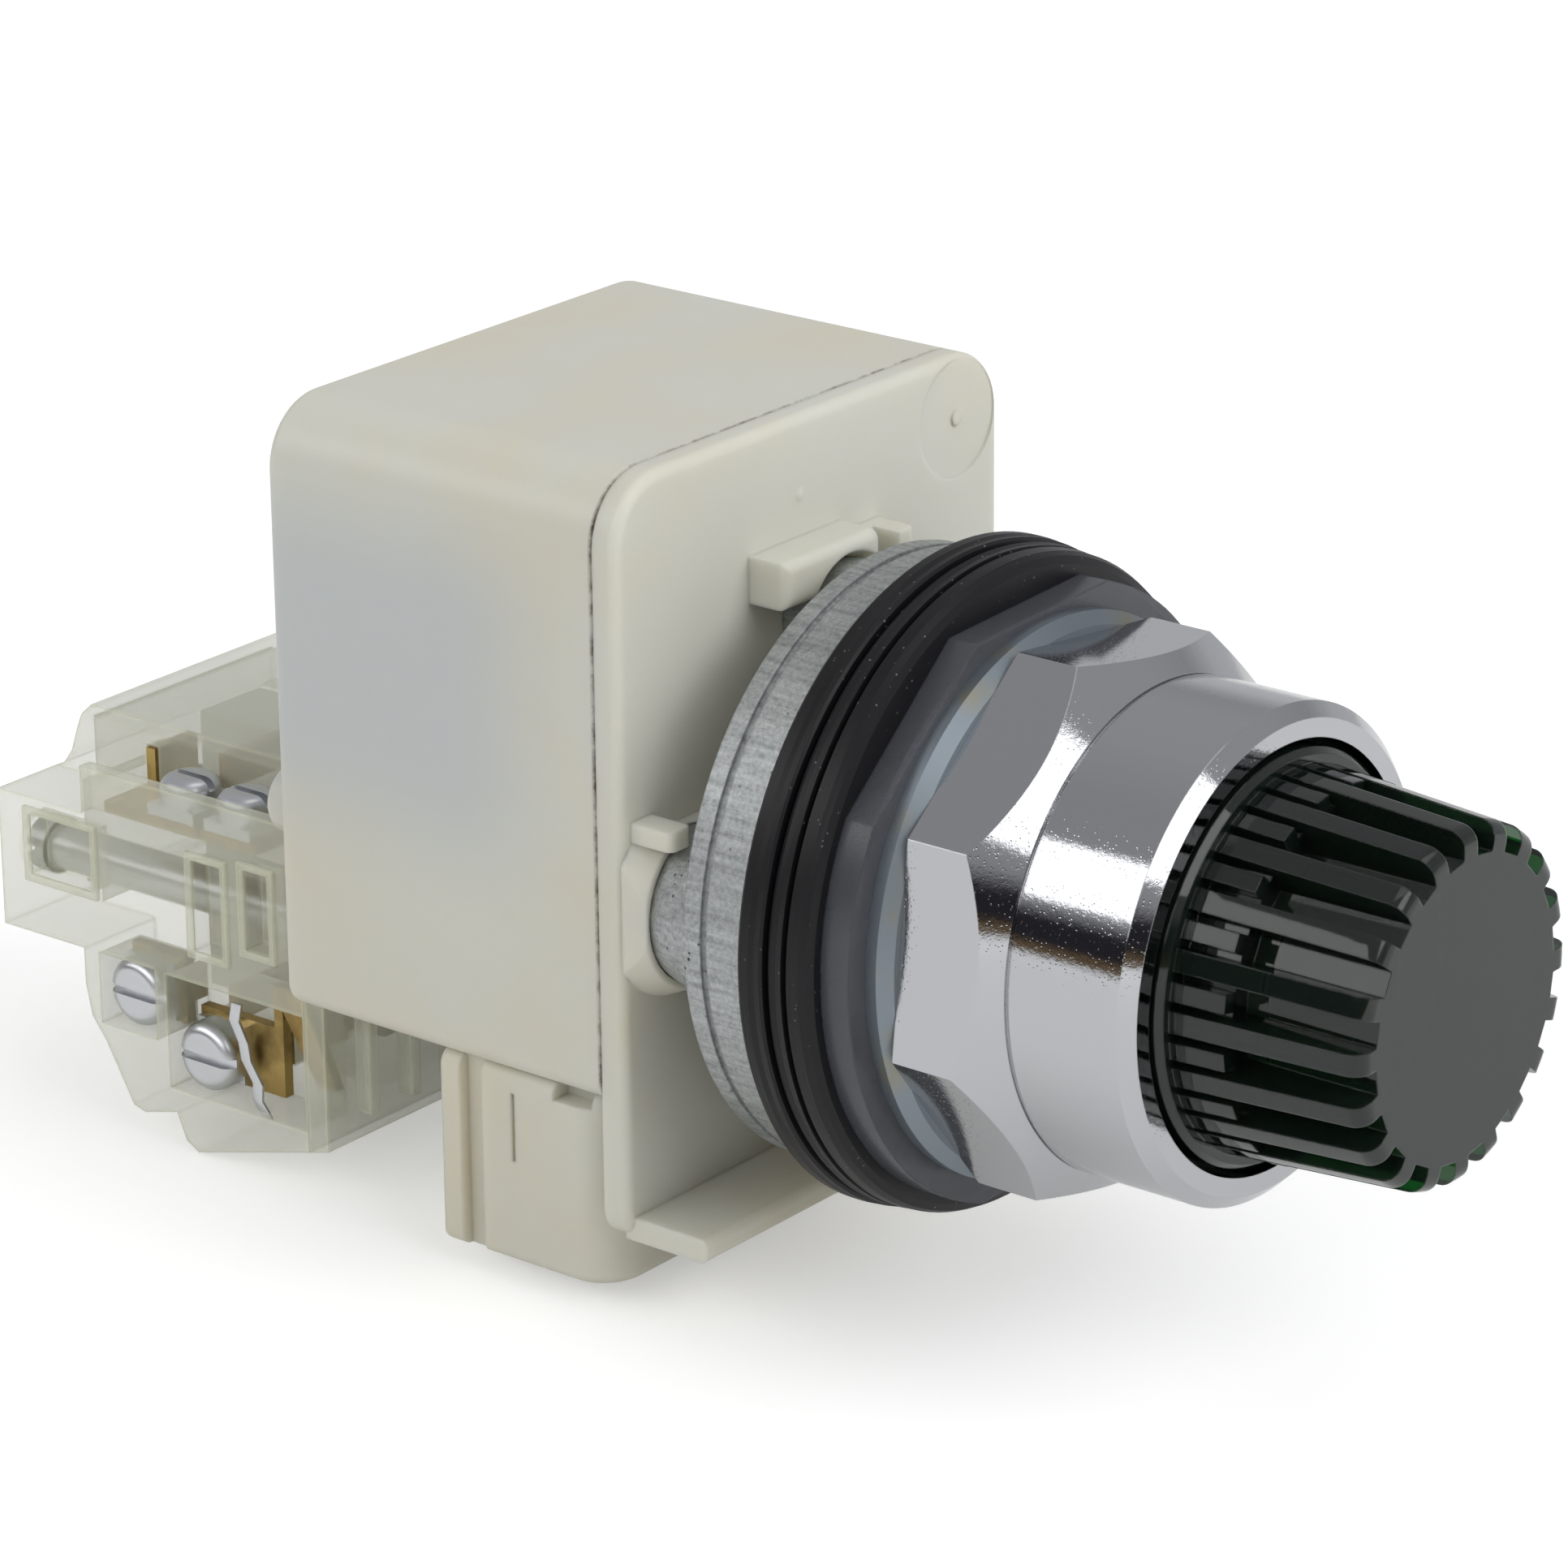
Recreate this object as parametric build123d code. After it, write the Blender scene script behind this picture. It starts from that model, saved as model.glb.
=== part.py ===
from build123d import *
from math import cos, pi, sin, tan
import os

# An illuminated push button of the 30 mm industrial class, with a transformer light module and a
# contact block. The button's axis is Y: the lens faces -Y, +Z is up, +X is to the right of someone
# who faces the lens. The origin is on the axis, where the gasket meets the rim of the zinc casting.
# All sizes are in millimetres.

# Travel and clearances
stroke = 4.0
slide_play = 0.08
loose_play = 0.4
fit_play = 0.1
seat_gap = 0.05

# Operator: the zinc casting with its threaded neck, rim and rear lugs
neck_radius = 15.0
neck_length = 14.6
sleeve_radius = 11.0
rim_radius = 20.3
rim_depth = 5.5
rim_groove_depth = 0.3
rim_groove_width = 0.5
rim_groove_from_front = 3.7
recess_radius = 13.8
recess_into_neck = 2.9
lug_length = 5.5

# Rear lugs at the sides, then above and below: place on the circle, radius at the rim and at the tip
lug_sizes = ((14.1, 6.2, 4.6), (15.4, 4.1, 3.3))

# Sealing washers on the neck, from the rim to the nut
gasket_radius = 21.95
gasket_thickness = 5.2
clear_washer_radius = 20.2
clear_washer_thickness = 2.2
clear_washer_flat = 18.9
clear_washer_flat_angles = (92, 130, 272, 310)
trim_washer_radius = 18.5
trim_washer_thickness = 1.6
trim_washer_sheet = 0.8
washer_play = 0.3

# Moulded edge of the gasket: how far inside its radius, and how far in front of the rim
gasket_edge = (
    (0.2, 0.0), (0.0, 0.25), (0.0, 0.9), (0.12, 1.25), (0.08, 1.7), (0.25, 1.85), (0.9, 1.95), (0.9, 2.15),
    (0.35, 2.25), (0.25, 2.5), (0.35, 2.8), (0.3, 3.25), (0.75, 3.35), (0.75, 3.55), (0.35, 3.65), (0.42, 4.5),
    (0.65, 4.95), (1.15, 5.2),
)

# Ring nut: eight sides, a conical neck with a fine groove at its foot, and a round nose
nut_across_flats = 34.5
nut_turn = 15.93
nut_flats_length = 4.5
nut_neck_length = 2.7
nut_nose_radius = 16.1
nut_length = 16.4
nut_bevel = 0.9
nut_crease_depth = 0.2
nut_crease_width = 0.3
nut_thread_length = 6.4
nut_opening_radius = 13.95

# Lens cap
lens_rib_count = 20
lens_nose = 13.6
lens_front_radius = 11.55
lens_rear_radius = 12.45
lens_floor_radius = 9.8
lens_wall = 1.3
lens_front_wall = 2.0
lens_rib_width = 1.45
lens_small_rib_width = 1.2
lens_step_from_front = 9.4
lens_rib_length = 13.2
lens_groove_depth = 1.25
lens_collar_length = 6.5
lens_collar_play = 0.55
lens_collar_round = 0.4
lens_edge_round = 1.2

# Sleeve that carries the lens cap
sleeve_wall = 3.0
sleeve_spigot_length = 5.0
sleeve_spigot_wall = 1.0
sleeve_tail = 4.2
flange_radius = 13.4
flange_thickness = 1.6
retainer_thickness = 1.0
spring_wire = 0.5
return_spring_turns = 3.0
seal_width = 1.8
seal_depth = 1.2
seal_from_front = 1.6

# Lamp and socket on the button's axis
bulb_radius = 5.0
bulb_length = 15.0
bulb_gap = 1.4
lamp_cap_radius = 4.6
lamp_cap_length = 9.0
lamp_pin_radius = 0.8
lamp_tip_length = 0.8
socket_wall = 0.5
socket_length = 12.0
socket_slot_width = 2.0
insulator_radius = 7.4
insulator_reach = 9.0
insulator_flange_radius = 9.4
insulator_flange_thickness = 1.2

# Light module: front plate and transformer cover
module_half_width = 19.7
module_top = 28.5
cover_bottom = -13.1
module_top_round = 4.6
module_bottom_round = 1.6
plate_thickness = 2.0
plate_bottom = -22.3
plate_bottom_round = 2.0
plate_lip_height = 2.2
plate_lip_wall = 1.2
cover_depth = 27.2
cover_wall = 1.6
cover_edge_round = 0.8
plate_edge_round = 0.7
ledge_reach = 6.0
ledge_thickness = 1.6
ledge_inset = 0.7
seat_height = 2.0
seat_wall = 0.5
seat_flare = 0.4
top_cradle_half_width = 6.65
top_cradle_low = 17.4
top_cradle_high = 20.5
top_cradle_reach = 3.1
top_cradle_flare = 1.0
top_cradle_flare_depth = 1.8
top_cradle_slot = (2.7, 4.9)
top_cradle_slot_floor = 1.0
top_cradle_step = 0.8
tab_from_side = 1.0
tab_reach = 3.3
tab_thickness = 1.3
tab_height = 4.9
tab_length = 2.1
plate_dimple_radius = 4.0
plate_dimple_depth = 0.15
plate_dimple_place = (15.2, 24.2)
plate_gate_radius = 0.5
plate_pip_radius = 0.8
plate_pip_height = 0.15
plate_pip_place = (-1.4, 23.3)
joint_bevel = 0.15
post_radius = 2.35
post_reach = 2.6
post_circle = 15.9
screw_radius = 1.5
screw_head_radius = 1.95
screw_head_length = 1.6
screw_slot = 0.6
lug_thread_depth = 3.6

# Transformer inside the cover
core_half_width = 12.4
core_height = 21.0
core_stack = 11.0
core_limb = 4.0
core_window_height = 13.0
core_bottom = 4.4
core_from_plate = 7.5
core_rail_width = 1.4
core_rail_low = 12.0
core_rail_high = 24.0
bobbin_wall = 0.8
winding_depth = 3.2
winding_gap = 0.8

# Terminal box under the cover
box_half_width = 19.0
box_bottom = -26.7
box_depth = 14.2
box_wall = 1.6
box_corner_round = 3.2
box_edge_round = 0.8
box_groove_from_back = 2.5
box_groove_width = 1.9
box_groove_depth = 0.9
box_top_round = 1.1
box_slit_from_plate = 8.1
box_slit_width = 0.3
box_slit_length = 4.8
box_notch_from_plate = 1.7
box_notch_length = 3.0
box_notch_height = 1.2
supply_spacing = 19.0
supply_wire_radius = 1.7
supply_window = 8.0
supply_strip = 0.8
supply_strip_width = 6.0
supply_screw_radius = 1.5
supply_head_radius = 2.7
supply_head_length = 1.8
wire_hole_from_back = 4.0

# Push rod past the transformer
rod_radius = 1.3
rod_height = -9.6
rod_bore_play = 0.2

# Contact block
block_half_width = 16.0
block_centre = -10.6
block_front_thickness = 1.8
block_wall = 1.2
rail_wall = 1.0
rail_height = 3.4
rail_length = 21.8
spine_half_height = 5.0
spine_depth = 29.8
upper_half_width = 10.4
upper_rise = 5.3
upper_roof_depth = 26.0
lower_shoulder_depth = 22.2
lower_rear_drop = 10.6
lower_front_drop = 12.6
lower_step_depth = 14.0
lower_slope = 3.2
lower_side_open = 3.2
block_screw_spacing = 24.0
block_screw_head_length = 2.0
block_screw_grip = 3.0

# Windows in the sides of the block's spine: from the block's front face, and from its centre line
spine_windows = (((4.6, 6.8), (-1.4, 4.4)), ((8.9, 11.6), (-2.6, 4.0)), ((21.0, 26.8), (-0.6, 3.8)))
spine_window_depth = 1.5

# Contacts
contact_row_rise = 7.2
contact_row_drop = 9.9
contact_strip = 0.8
contact_bar_height = 2.4
contact_bar_half = 8.6
contact_overlap = 2.2
contact_gap = 0.1
nc_from_block_front = 6.8
no_from_block_front = 19.9
terminal_tab_half = 2.5
no_upper_shift = 3.7
no_lower_lift = 2.3
nc_lower_shift = 2.6
nc_lower_drop = 0.9
nc_blade_reach = 4.7
nc_blade_rise = 3.1
nc_blade_drop = 6.4
nc_blade_width = 1.7
terminal_screw_radius = 1.5
terminal_head_length = 1.9
clamp_thickness = 0.8
clamp_half = 2.1
carrier_half_width = 3.0
carrier_stem_radius = 2.4
carrier_rim = 1.2
carrier_wall = 0.8
carrier_back_from_front = 22.8
contact_spring_wire = 0.3
contact_spring_radius = 1.0
carrier_spring_wire = 0.35
carrier_spring_radius = 2.4
carrier_pin_radius = 1.4
carrier_pin_length = 1.6

# Places that follow from the sizes above
gasket_front = -gasket_thickness
clear_front = gasket_front - clear_washer_thickness
nut_rear = clear_front - trim_washer_thickness
nut_front = nut_rear - nut_length
neck_front = -neck_length
plate_front = rim_depth + lug_length
plate_rear = plate_front + plate_thickness
cover_rear = plate_rear + cover_depth
lens_front = nut_front - lens_nose
lens_rear = lens_front + lens_rib_length + lens_collar_length
sleeve_bore = sleeve_radius - sleeve_wall
block_front_face = cover_rear
block_rear = block_front_face + spine_depth
chamber_front = block_front_face + block_front_thickness
post_rear = cover_rear + post_reach
core_front = plate_rear + core_from_plate


def rod_y(radius, start, end, x=0.0, z=0.0):
    """Round bar along Y from start to end."""
    bar = Cylinder(radius, end - start, align=(Align.CENTER, Align.CENTER, Align.MIN))
    return Pos(x, end, z) * Rot(90, 0, 0) * bar


def rod_x(radius, start, end, y=0.0, z=0.0):
    """Round bar along X from start to end."""
    bar = Cylinder(radius, end - start, align=(Align.CENTER, Align.CENTER, Align.MIN))
    return Pos(start, y, z) * Rot(0, 90, 0) * bar


def rod_z(radius, start, end, x=0.0, y=0.0):
    """Round bar along Z from start to end."""
    bar = Cylinder(radius, end - start, align=(Align.CENTER, Align.CENTER, Align.MIN))
    return Pos(x, y, start) * bar


def block(x_range, y_range, z_range):
    """Box between pairs of limits."""
    sizes = [high - low for low, high in (x_range, y_range, z_range)]
    middle = [(high + low) / 2 for low, high in (x_range, y_range, z_range)]
    return Pos(*middle) * Box(*sizes)


def ring_y(outer, inner, start, end):
    """Washer shape about the button's axis."""
    return rod_y(outer, start, end) - rod_y(inner, start - 1, end + 1)


def turned(points):
    """Solid of revolution about the button's axis, from (radius, y) points."""
    return revolve(make_face(Polyline(*points, close=True)), Axis.Y)


def facing_front(depth):
    """Plane whose sketch axes are X and Z, and whose extrusions run towards -Y from depth."""
    return Plane(origin=(0, depth, 0), x_dir=(1, 0, 0), z_dir=(0, -1, 0))


def case_outline(half_width, low, high, top_round, bottom_round):
    """Front view of the module: upright rectangle with other corners above than below."""
    corners = [(-half_width, low), (half_width, low), (half_width, high), (-half_width, high)]
    outline = make_face(Polyline(*corners, close=True))
    if top_round > 0:
        outline = fillet(outline.vertices().group_by(Axis.Y)[-1], top_round)
    if bottom_round > 0:
        outline = fillet(outline.vertices().group_by(Axis.Y)[0], bottom_round)
    return outline


def case_solid(outline, start, end):
    """Extrudes a front-view outline between two depths."""
    return extrude(facing_front(end) * outline, amount=end - start)


def side_solid(points, left, right):
    """Extrudes a side-view outline of (y, z) points between two places on X."""
    outline = make_face(Polyline(*points, close=True))
    return extrude(Plane.YZ.offset(left) * outline, amount=right - left)


def coil(radius, wire, start, end, turns, x=0.0, z=0.0):
    """Helical spring along Y with plain ends."""
    height = end - start - wire
    path = Helix(height / turns, height, radius)
    section = Plane(origin=path @ 0, z_dir=path % 0) * Circle(wire / 2)
    wound = sweep(section, path=path, is_frenet=True)
    return Pos(x, end - wire / 2, z) * Rot(90, 0, 0) * wound


def lugs(play):
    """The four tapered lugs behind the rim, or their seats in the module's plate."""
    cones = []
    for turn in range(4):
        distance, root, tip = lug_sizes[turn % 2]
        cone = Pos(0, plate_front - lug_length / 2, 0) * Rot(90, 0, 0) * Cone(tip + play, root + play, lug_length)
        cones.append(Pos(distance * cos(turn * pi / 2), 0, distance * sin(turn * pi / 2)) * cone)
    return cones


def tapered(root, tip, length, x):
    """Round boss on the plate's front, wider at its root."""
    cone = Cone(root, tip, length)
    return Pos(x, plate_front - length / 2, 0) * Rot(90, 0, 0) * cone


def operator_base():
    """Zinc die casting: threaded neck, rim with a groove, recess for the spring and four lugs."""
    body = rod_y(neck_radius, neck_front, 0)
    body += rod_y(rim_radius, 0, rim_depth)
    groove_start = rim_groove_from_front
    groove_end = groove_start + rim_groove_width
    body -= ring_y(rim_radius + 1, rim_radius - rim_groove_depth, groove_start, groove_end)
    body += lugs(0)
    body -= rod_y(sleeve_radius + slide_play, neck_front - 1, rim_depth + 1)
    body -= rod_y(recess_radius, -recess_into_neck, plate_front + 1)
    seal_start = neck_front + seal_from_front
    groove_radius = sleeve_radius + loose_play + seal_depth + fit_play
    body -= rod_y(groove_radius, seal_start - fit_play, seal_start + seal_width + fit_play)
    for side in (-1, 1):
        hole_start = plate_front - lug_thread_depth - fit_play
        body -= rod_y(screw_radius + fit_play, hole_start, plate_front + 1, side * post_circle)
    return body


def gasket():
    """Black moulded ring: a thick bead at the rim, two deep grooves and a rounded front."""
    inner = neck_radius + washer_play
    points = [(gasket_radius - drop, -depth) for drop, depth in gasket_edge]
    return turned([(inner, 0)] + points + [(inner, gasket_front)])


def clear_washer():
    """Thick clear plastic washer with flats cut on its edge."""
    body = ring_y(clear_washer_radius, neck_radius + washer_play, clear_front, gasket_front)
    width = 2 * clear_washer_radius
    for angle in clear_washer_flat_angles:
        cutter = Pos(clear_washer_flat + width / 2, 0, 0) * Box(width, 4 * clear_washer_thickness, width)
        body -= Pos(0, (clear_front + gasket_front) / 2, 0) * Rot(0, -angle, 0) * cutter
    return body


def trim_washer():
    """Zinc-plated steel washer with its edge rolled back."""
    inner = neck_radius + washer_play
    sheet = trim_washer_sheet
    edge = trim_washer_radius
    points = [(inner, nut_rear), (edge - sheet, nut_rear), (edge, nut_rear + sheet)]
    points += [(edge, clear_front), (edge - sheet, clear_front), (edge - sheet, nut_rear + sheet)]
    points += [(inner, nut_rear + sheet)]
    return turned(points)


def ring_nut():
    """Chrome nut: eight flats at the back, a conical neck, and a round nose that guards the lens."""
    corner = nut_across_flats / 2 / cos(pi / 8)
    flats_front = nut_rear - nut_flats_length
    neck_start = flats_front - nut_neck_length
    shape = RegularPolygon(corner, 8)
    flats = extrude(facing_front(nut_rear) * Rot(0, 0, nut_turn) * shape, amount=nut_rear - neck_start)
    cone = [(0, neck_start), (nut_nose_radius, neck_start), (corner, flats_front), (corner, nut_rear), (0, nut_rear)]
    nose = rod_y(nut_nose_radius, nut_front, nut_rear)
    nose = chamfer(nose.edges().group_by(Axis.Y)[0], nut_bevel)
    body = (flats & turned(cone)) + nose
    groove_inside = nut_nose_radius - nut_crease_depth
    body -= ring_y(nut_nose_radius + 1, groove_inside, neck_start - nut_crease_width, neck_start)
    body -= rod_y(nut_opening_radius, nut_front - 1, nut_rear + 1)
    return body - rod_y(neck_radius + fit_play, nut_rear - nut_thread_length, nut_rear + 1)


def rib_side(radius):
    """Half the width that two neighbouring ribs leave between them at a radius."""
    return radius * tan(pi / lens_rib_count) - lens_rib_width / 2


def lens_cut(start, end, floor, land):
    """Cutter from a land's side to the next rib; the rib keeps its width outwards."""
    reach = 2 * lens_floor_radius
    points = [(land, floor), (rib_side(floor), floor), (rib_side(reach), reach), (land, reach)]
    return case_solid(make_face(Polyline(*points, close=True)), start, end)


def lens_cap():
    """Green transparent cap: ribs with deep pockets at the front and half-filled ones behind."""
    rib_end = lens_front + lens_rib_length
    step = lens_front + lens_step_from_front
    collar = nut_opening_radius - lens_collar_play
    envelope = [(0, lens_front), (lens_front_radius, lens_front), (lens_rear_radius, rib_end)]
    envelope += [(collar - lens_collar_round, rib_end), (collar, rib_end + lens_collar_round)]
    envelope += [(collar, lens_rear), (0, lens_rear)]
    body = turned(envelope)
    body = fillet(body.edges().group_by(Axis.Y)[0], lens_edge_round)
    cuts = []
    shallow_floor = lens_rear_radius - lens_groove_depth
    deep = lens_cut(lens_front - 1, step, lens_floor_radius, -fit_play)
    shallow = lens_cut(step - 0.5, rib_end, shallow_floor, lens_small_rib_width / 2)
    for turn in range(lens_rib_count):
        place = Rot(0, (turn + 0.5) * 360 / lens_rib_count, 0)
        for cut in (deep, shallow):
            cuts += [place * cut, place * mirror(cut, about=Plane.YZ)]
    body -= cuts
    inner = lens_floor_radius - lens_wall
    spigot = sleeve_bore + sleeve_spigot_wall + seat_gap
    shoulder = lens_rear - lens_collar_length + fit_play
    body -= rod_y(inner, lens_front + lens_front_wall, lens_rear + 1)
    body -= rod_y(max(inner, spigot), shoulder - sleeve_spigot_length, lens_rear + 1)
    return body - rod_y(sleeve_radius + seat_gap, shoulder, lens_rear + 1)


def lens_holder():
    """Nylon sleeve that carries the cap, slides in the casting and stops against its recess."""
    shoulder = lens_rear - lens_collar_length + fit_play + seat_gap
    flange_front = -recess_into_neck + seat_gap
    body = rod_y(sleeve_radius, shoulder, sleeve_tail)
    body += rod_y(sleeve_bore + sleeve_spigot_wall, shoulder - sleeve_spigot_length + fit_play, shoulder + 1)
    body += rod_y(flange_radius, flange_front, flange_front + flange_thickness)
    return body - rod_y(sleeve_bore, lens_front, sleeve_tail + 1)


def spring_retainer():
    """Steel ring that closes the recess behind the return spring."""
    end = rim_depth - fit_play
    return ring_y(recess_radius - seat_gap, sleeve_radius + loose_play, end - retainer_thickness, end)


def return_spring():
    """Spring between the sleeve's flange and the retainer."""
    flange_back = -recess_into_neck + seat_gap + flange_thickness
    radius = (sleeve_radius + recess_radius) / 2
    start = flange_back + fit_play
    end = rim_depth - fit_play - retainer_thickness - fit_play
    return coil(radius, spring_wire, start, end, return_spring_turns)


def sleeve_seal():
    """Rubber ring in the neck's groove, around the sleeve."""
    start = neck_front + seal_from_front
    inner = sleeve_radius + loose_play
    return ring_y(inner + seal_depth, inner, start, start + seal_width)


def bulb_front():
    """The bulb stays clear of the cap's front wall when the cap is pushed home."""
    return lens_front + lens_front_wall + stroke + bulb_gap


def lamp_bulb():
    """Glass envelope of the lamp, with a domed tip."""
    start = bulb_front()
    body = rod_y(bulb_radius, start, start + bulb_length)
    return fillet(body.edges().group_by(Axis.Y)[0], 0.9 * bulb_radius)


def lamp_cap():
    """Bayonet cap of the lamp, with its two pins and its end contact."""
    start = bulb_front() + bulb_length
    end = start + lamp_cap_length
    body = rod_y(lamp_cap_radius, start, end)
    body += rod_y(lamp_cap_radius / 3, end, end + lamp_tip_length)
    pin = lamp_cap_radius + socket_wall
    return body + rod_x(lamp_pin_radius, -pin, pin, lamp_pin_place())


def lamp_pin_place():
    """Depth of the lamp's bayonet pins."""
    return bulb_front() + bulb_length + lamp_cap_length / 2


def socket_start():
    """Front end of the socket's shell."""
    return lamp_pin_place() - socket_length / 3


def lamp_socket():
    """Brass shell with bayonet slots for the lamp's pins."""
    inner = lamp_cap_radius + fit_play
    body = ring_y(inner + socket_wall, inner, socket_start(), socket_start() + socket_length)
    slot = socket_slot_width / 2
    return body - block((-2 * inner, 2 * inner), (socket_start() - 1, lamp_pin_place() + slot), (-slot, slot))


def socket_insulator():
    """Nylon holder on the module plate that carries the socket in the middle of the sleeve."""
    shell = lamp_cap_radius + fit_play + socket_wall
    end = socket_start() + socket_length
    front = end - insulator_reach
    back = plate_rear + insulator_flange_thickness
    body = rod_y(insulator_radius, front, plate_rear) + rod_y(insulator_flange_radius, plate_rear, back)
    body -= rod_y(rod_radius + rod_bore_play, front, back + 1, 0, rod_height)
    body -= rod_y(shell + fit_play, front - 1, end + fit_play)
    return body - rod_y(lamp_cap_radius / 2, end, plate_rear - 1)


def socket_contact():
    """Brass contact under the lamp's end contact."""
    end = socket_start() + socket_length
    lamp_end = bulb_front() + bulb_length + lamp_cap_length + lamp_tip_length
    body = rod_y(lamp_cap_radius / 3, lamp_end + fit_play, end + 2 * socket_slot_width)
    return body + rod_y(lamp_cap_radius / 1.5, end - lamp_tip_length, end)


def core_rails(start, end):
    """Two ribs that hold the core off the front plate or off the cover's back."""
    rails = []
    for side in (-1, 1):
        rail_x = sorted((side * core_half_width, side * (core_half_width - core_rail_width)))
        rails.append(block(rail_x, (start, end), (core_rail_low, core_rail_high)))
    return rails


def module_plate():
    """Front plate of the light module: ledge, cradles for the lugs, tabs, rim and core rails."""
    outline = case_outline(module_half_width, plate_bottom, module_top, module_top_round, plate_bottom_round)
    body = case_solid(outline, plate_front, plate_rear)
    body = fillet(body.faces().sort_by(Axis.Y)[0].edges(), plate_edge_round)
    body = chamfer(body.faces().sort_by(Axis.Y)[-1].edges(), joint_bevel)
    inset = cover_wall + fit_play
    lip_round = module_top_round - inset
    low = cover_bottom + inset
    rim = case_outline(module_half_width - inset, low, module_top - inset, lip_round, 0)
    hollow_inset = inset + plate_lip_wall
    hollow_low = low + plate_lip_wall
    hollow_round = lip_round - plate_lip_wall
    hollow = case_outline(module_half_width - hollow_inset, hollow_low, module_top - hollow_inset, hollow_round, 0)
    lip = case_solid(rim, plate_rear, plate_rear + plate_lip_height)
    lip -= case_solid(hollow, plate_rear - 1, plate_rear + plate_lip_height + 1)
    for side in (-1, 1):
        lip -= rod_y(post_radius + fit_play, plate_rear, plate_rear + plate_lip_height + 1, side * post_circle)
    body += lip
    body += core_rails(plate_rear - cover_wall, core_front)
    ledge_side = module_half_width - ledge_inset
    ledge_top = plate_bottom + ledge_thickness
    ledge_end = plate_front - ledge_reach
    ledge_y = (ledge_end, plate_front + plate_edge_round)
    ledge = block((-ledge_side, ledge_side), ledge_y, (plate_bottom, ledge_top))
    body += fillet(ledge.edges().filter_by(Axis.X).group_by(Axis.Y)[0], ledge_thickness / 3)
    side_place, side_root, _ = lug_sizes[0]
    top_place, _, top_tip = lug_sizes[1]
    seat_x = (seat_gap - module_half_width, module_half_width - seat_gap)
    for side in (-1, 1):
        seat = tapered(side_root + seat_flare, side_root - seat_wall, seat_height, side * side_place)
        seat &= block(seat_x, (plate_front - seat_height, plate_rear), (-module_half_width, tab_height + fit_play))
        body += seat
        tab_outer = side * (module_half_width - tab_from_side)
        tab_x = sorted((tab_outer, tab_outer - side * tab_length))
        tab = block(tab_x, (plate_front - tab_reach, plate_front + 1), (tab_height, tab_height + tab_thickness))
        body += fillet(tab.edges().filter_by(Axis.Z).group_by(Axis.Y)[0], 0.45 * tab_thickness)
    top_front = plate_front - top_cradle_reach
    half = top_cradle_half_width
    top = block((-half, half), (top_front, plate_front + 1), (top_cradle_low, top_cradle_high))
    top = fillet(top.edges().group_by(Axis.Y)[0], plate_edge_round)
    flare_end = top_front + top_cradle_flare_depth
    flare = Cone(top_tip, top_tip + top_cradle_flare, top_cradle_flare_depth)
    top -= Pos(0, (top_front + flare_end) / 2, top_place) * Rot(90, 0, 0) * flare
    slot_y = (top_front - 1, plate_front - top_cradle_slot_floor)
    top -= block(top_cradle_slot, slot_y, (top_cradle_low - 1, top_cradle_high + 1))
    step_z = (top_cradle_high - top_cradle_step, top_cradle_high + 1)
    top -= block((top_cradle_slot[0], half + 1), (top_front - 1, plate_front), step_z)
    body += top
    x, z = plate_pip_place
    body += Pos(x, plate_front + plate_pip_radius - plate_pip_height, z) * Sphere(plate_pip_radius)
    x, z = plate_dimple_place
    dimple = rod_y(plate_dimple_radius, plate_front - 1, plate_front + plate_dimple_depth, x, z)
    body -= dimple - rod_y(plate_gate_radius, plate_front - 1, plate_front + 1, x, z)
    body -= lugs(fit_play)
    body -= rod_y(insulator_radius + fit_play, plate_front - 1, plate_rear + 1)
    lip_end = plate_rear + plate_lip_height
    body -= rod_y(rod_radius + rod_bore_play, plate_front - 1, lip_end + 1, 0, rod_height)
    for side in (-1, 1):
        body -= rod_y(screw_radius + fit_play, plate_front - 1, plate_rear + 1, side * post_circle)
    return body


def transformer_cover():
    """Deep nylon case over the transformer, with two tubular screw posts that show at the back."""
    outline = case_outline(module_half_width, cover_bottom, module_top, module_top_round, module_bottom_round)
    body = case_solid(outline, plate_rear, cover_rear)
    body = fillet(body.faces().sort_by(Axis.Y)[-1].edges(), cover_edge_round)
    body = chamfer(body.faces().sort_by(Axis.Y)[0].edges(), joint_bevel)
    wall = cover_wall
    inner_round = module_top_round - wall
    inner = case_outline(module_half_width - wall, cover_bottom + wall, module_top - wall, inner_round, 0)
    body -= case_solid(inner, plate_rear - 1, cover_rear - wall)
    body += core_rails(core_front + core_stack, cover_rear - wall / 2)
    for side in (-1, 1):
        x = side * post_circle
        post = rod_y(post_radius, plate_rear + fit_play, post_rear, x)
        body += fillet(post.edges().group_by(Axis.Y)[-1], post_radius / 4)
        body -= rod_y(screw_radius + fit_play, plate_rear - 1, post_rear + 1, x)
        body -= rod_y(screw_head_radius + fit_play, post_rear - 2 * screw_head_length, post_rear + 1, x)
    body -= rod_y(rod_radius + rod_bore_play, cover_rear - wall - 1, cover_rear + 1, 0, rod_height)
    body -= rod_y(carrier_stem_radius + rod_bore_play, cover_rear - wall - 1, cover_rear + 1, 0, block_centre)
    for side in (-1, 1):
        x = side * block_screw_spacing / 2
        boss_start = cover_rear - block_screw_grip - 1
        body += rod_y(screw_radius + 1.2, boss_start, cover_rear, x, block_centre)
        body -= rod_y(screw_radius + fit_play, boss_start - 1, cover_rear + 1, x, block_centre)
    return body


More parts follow.
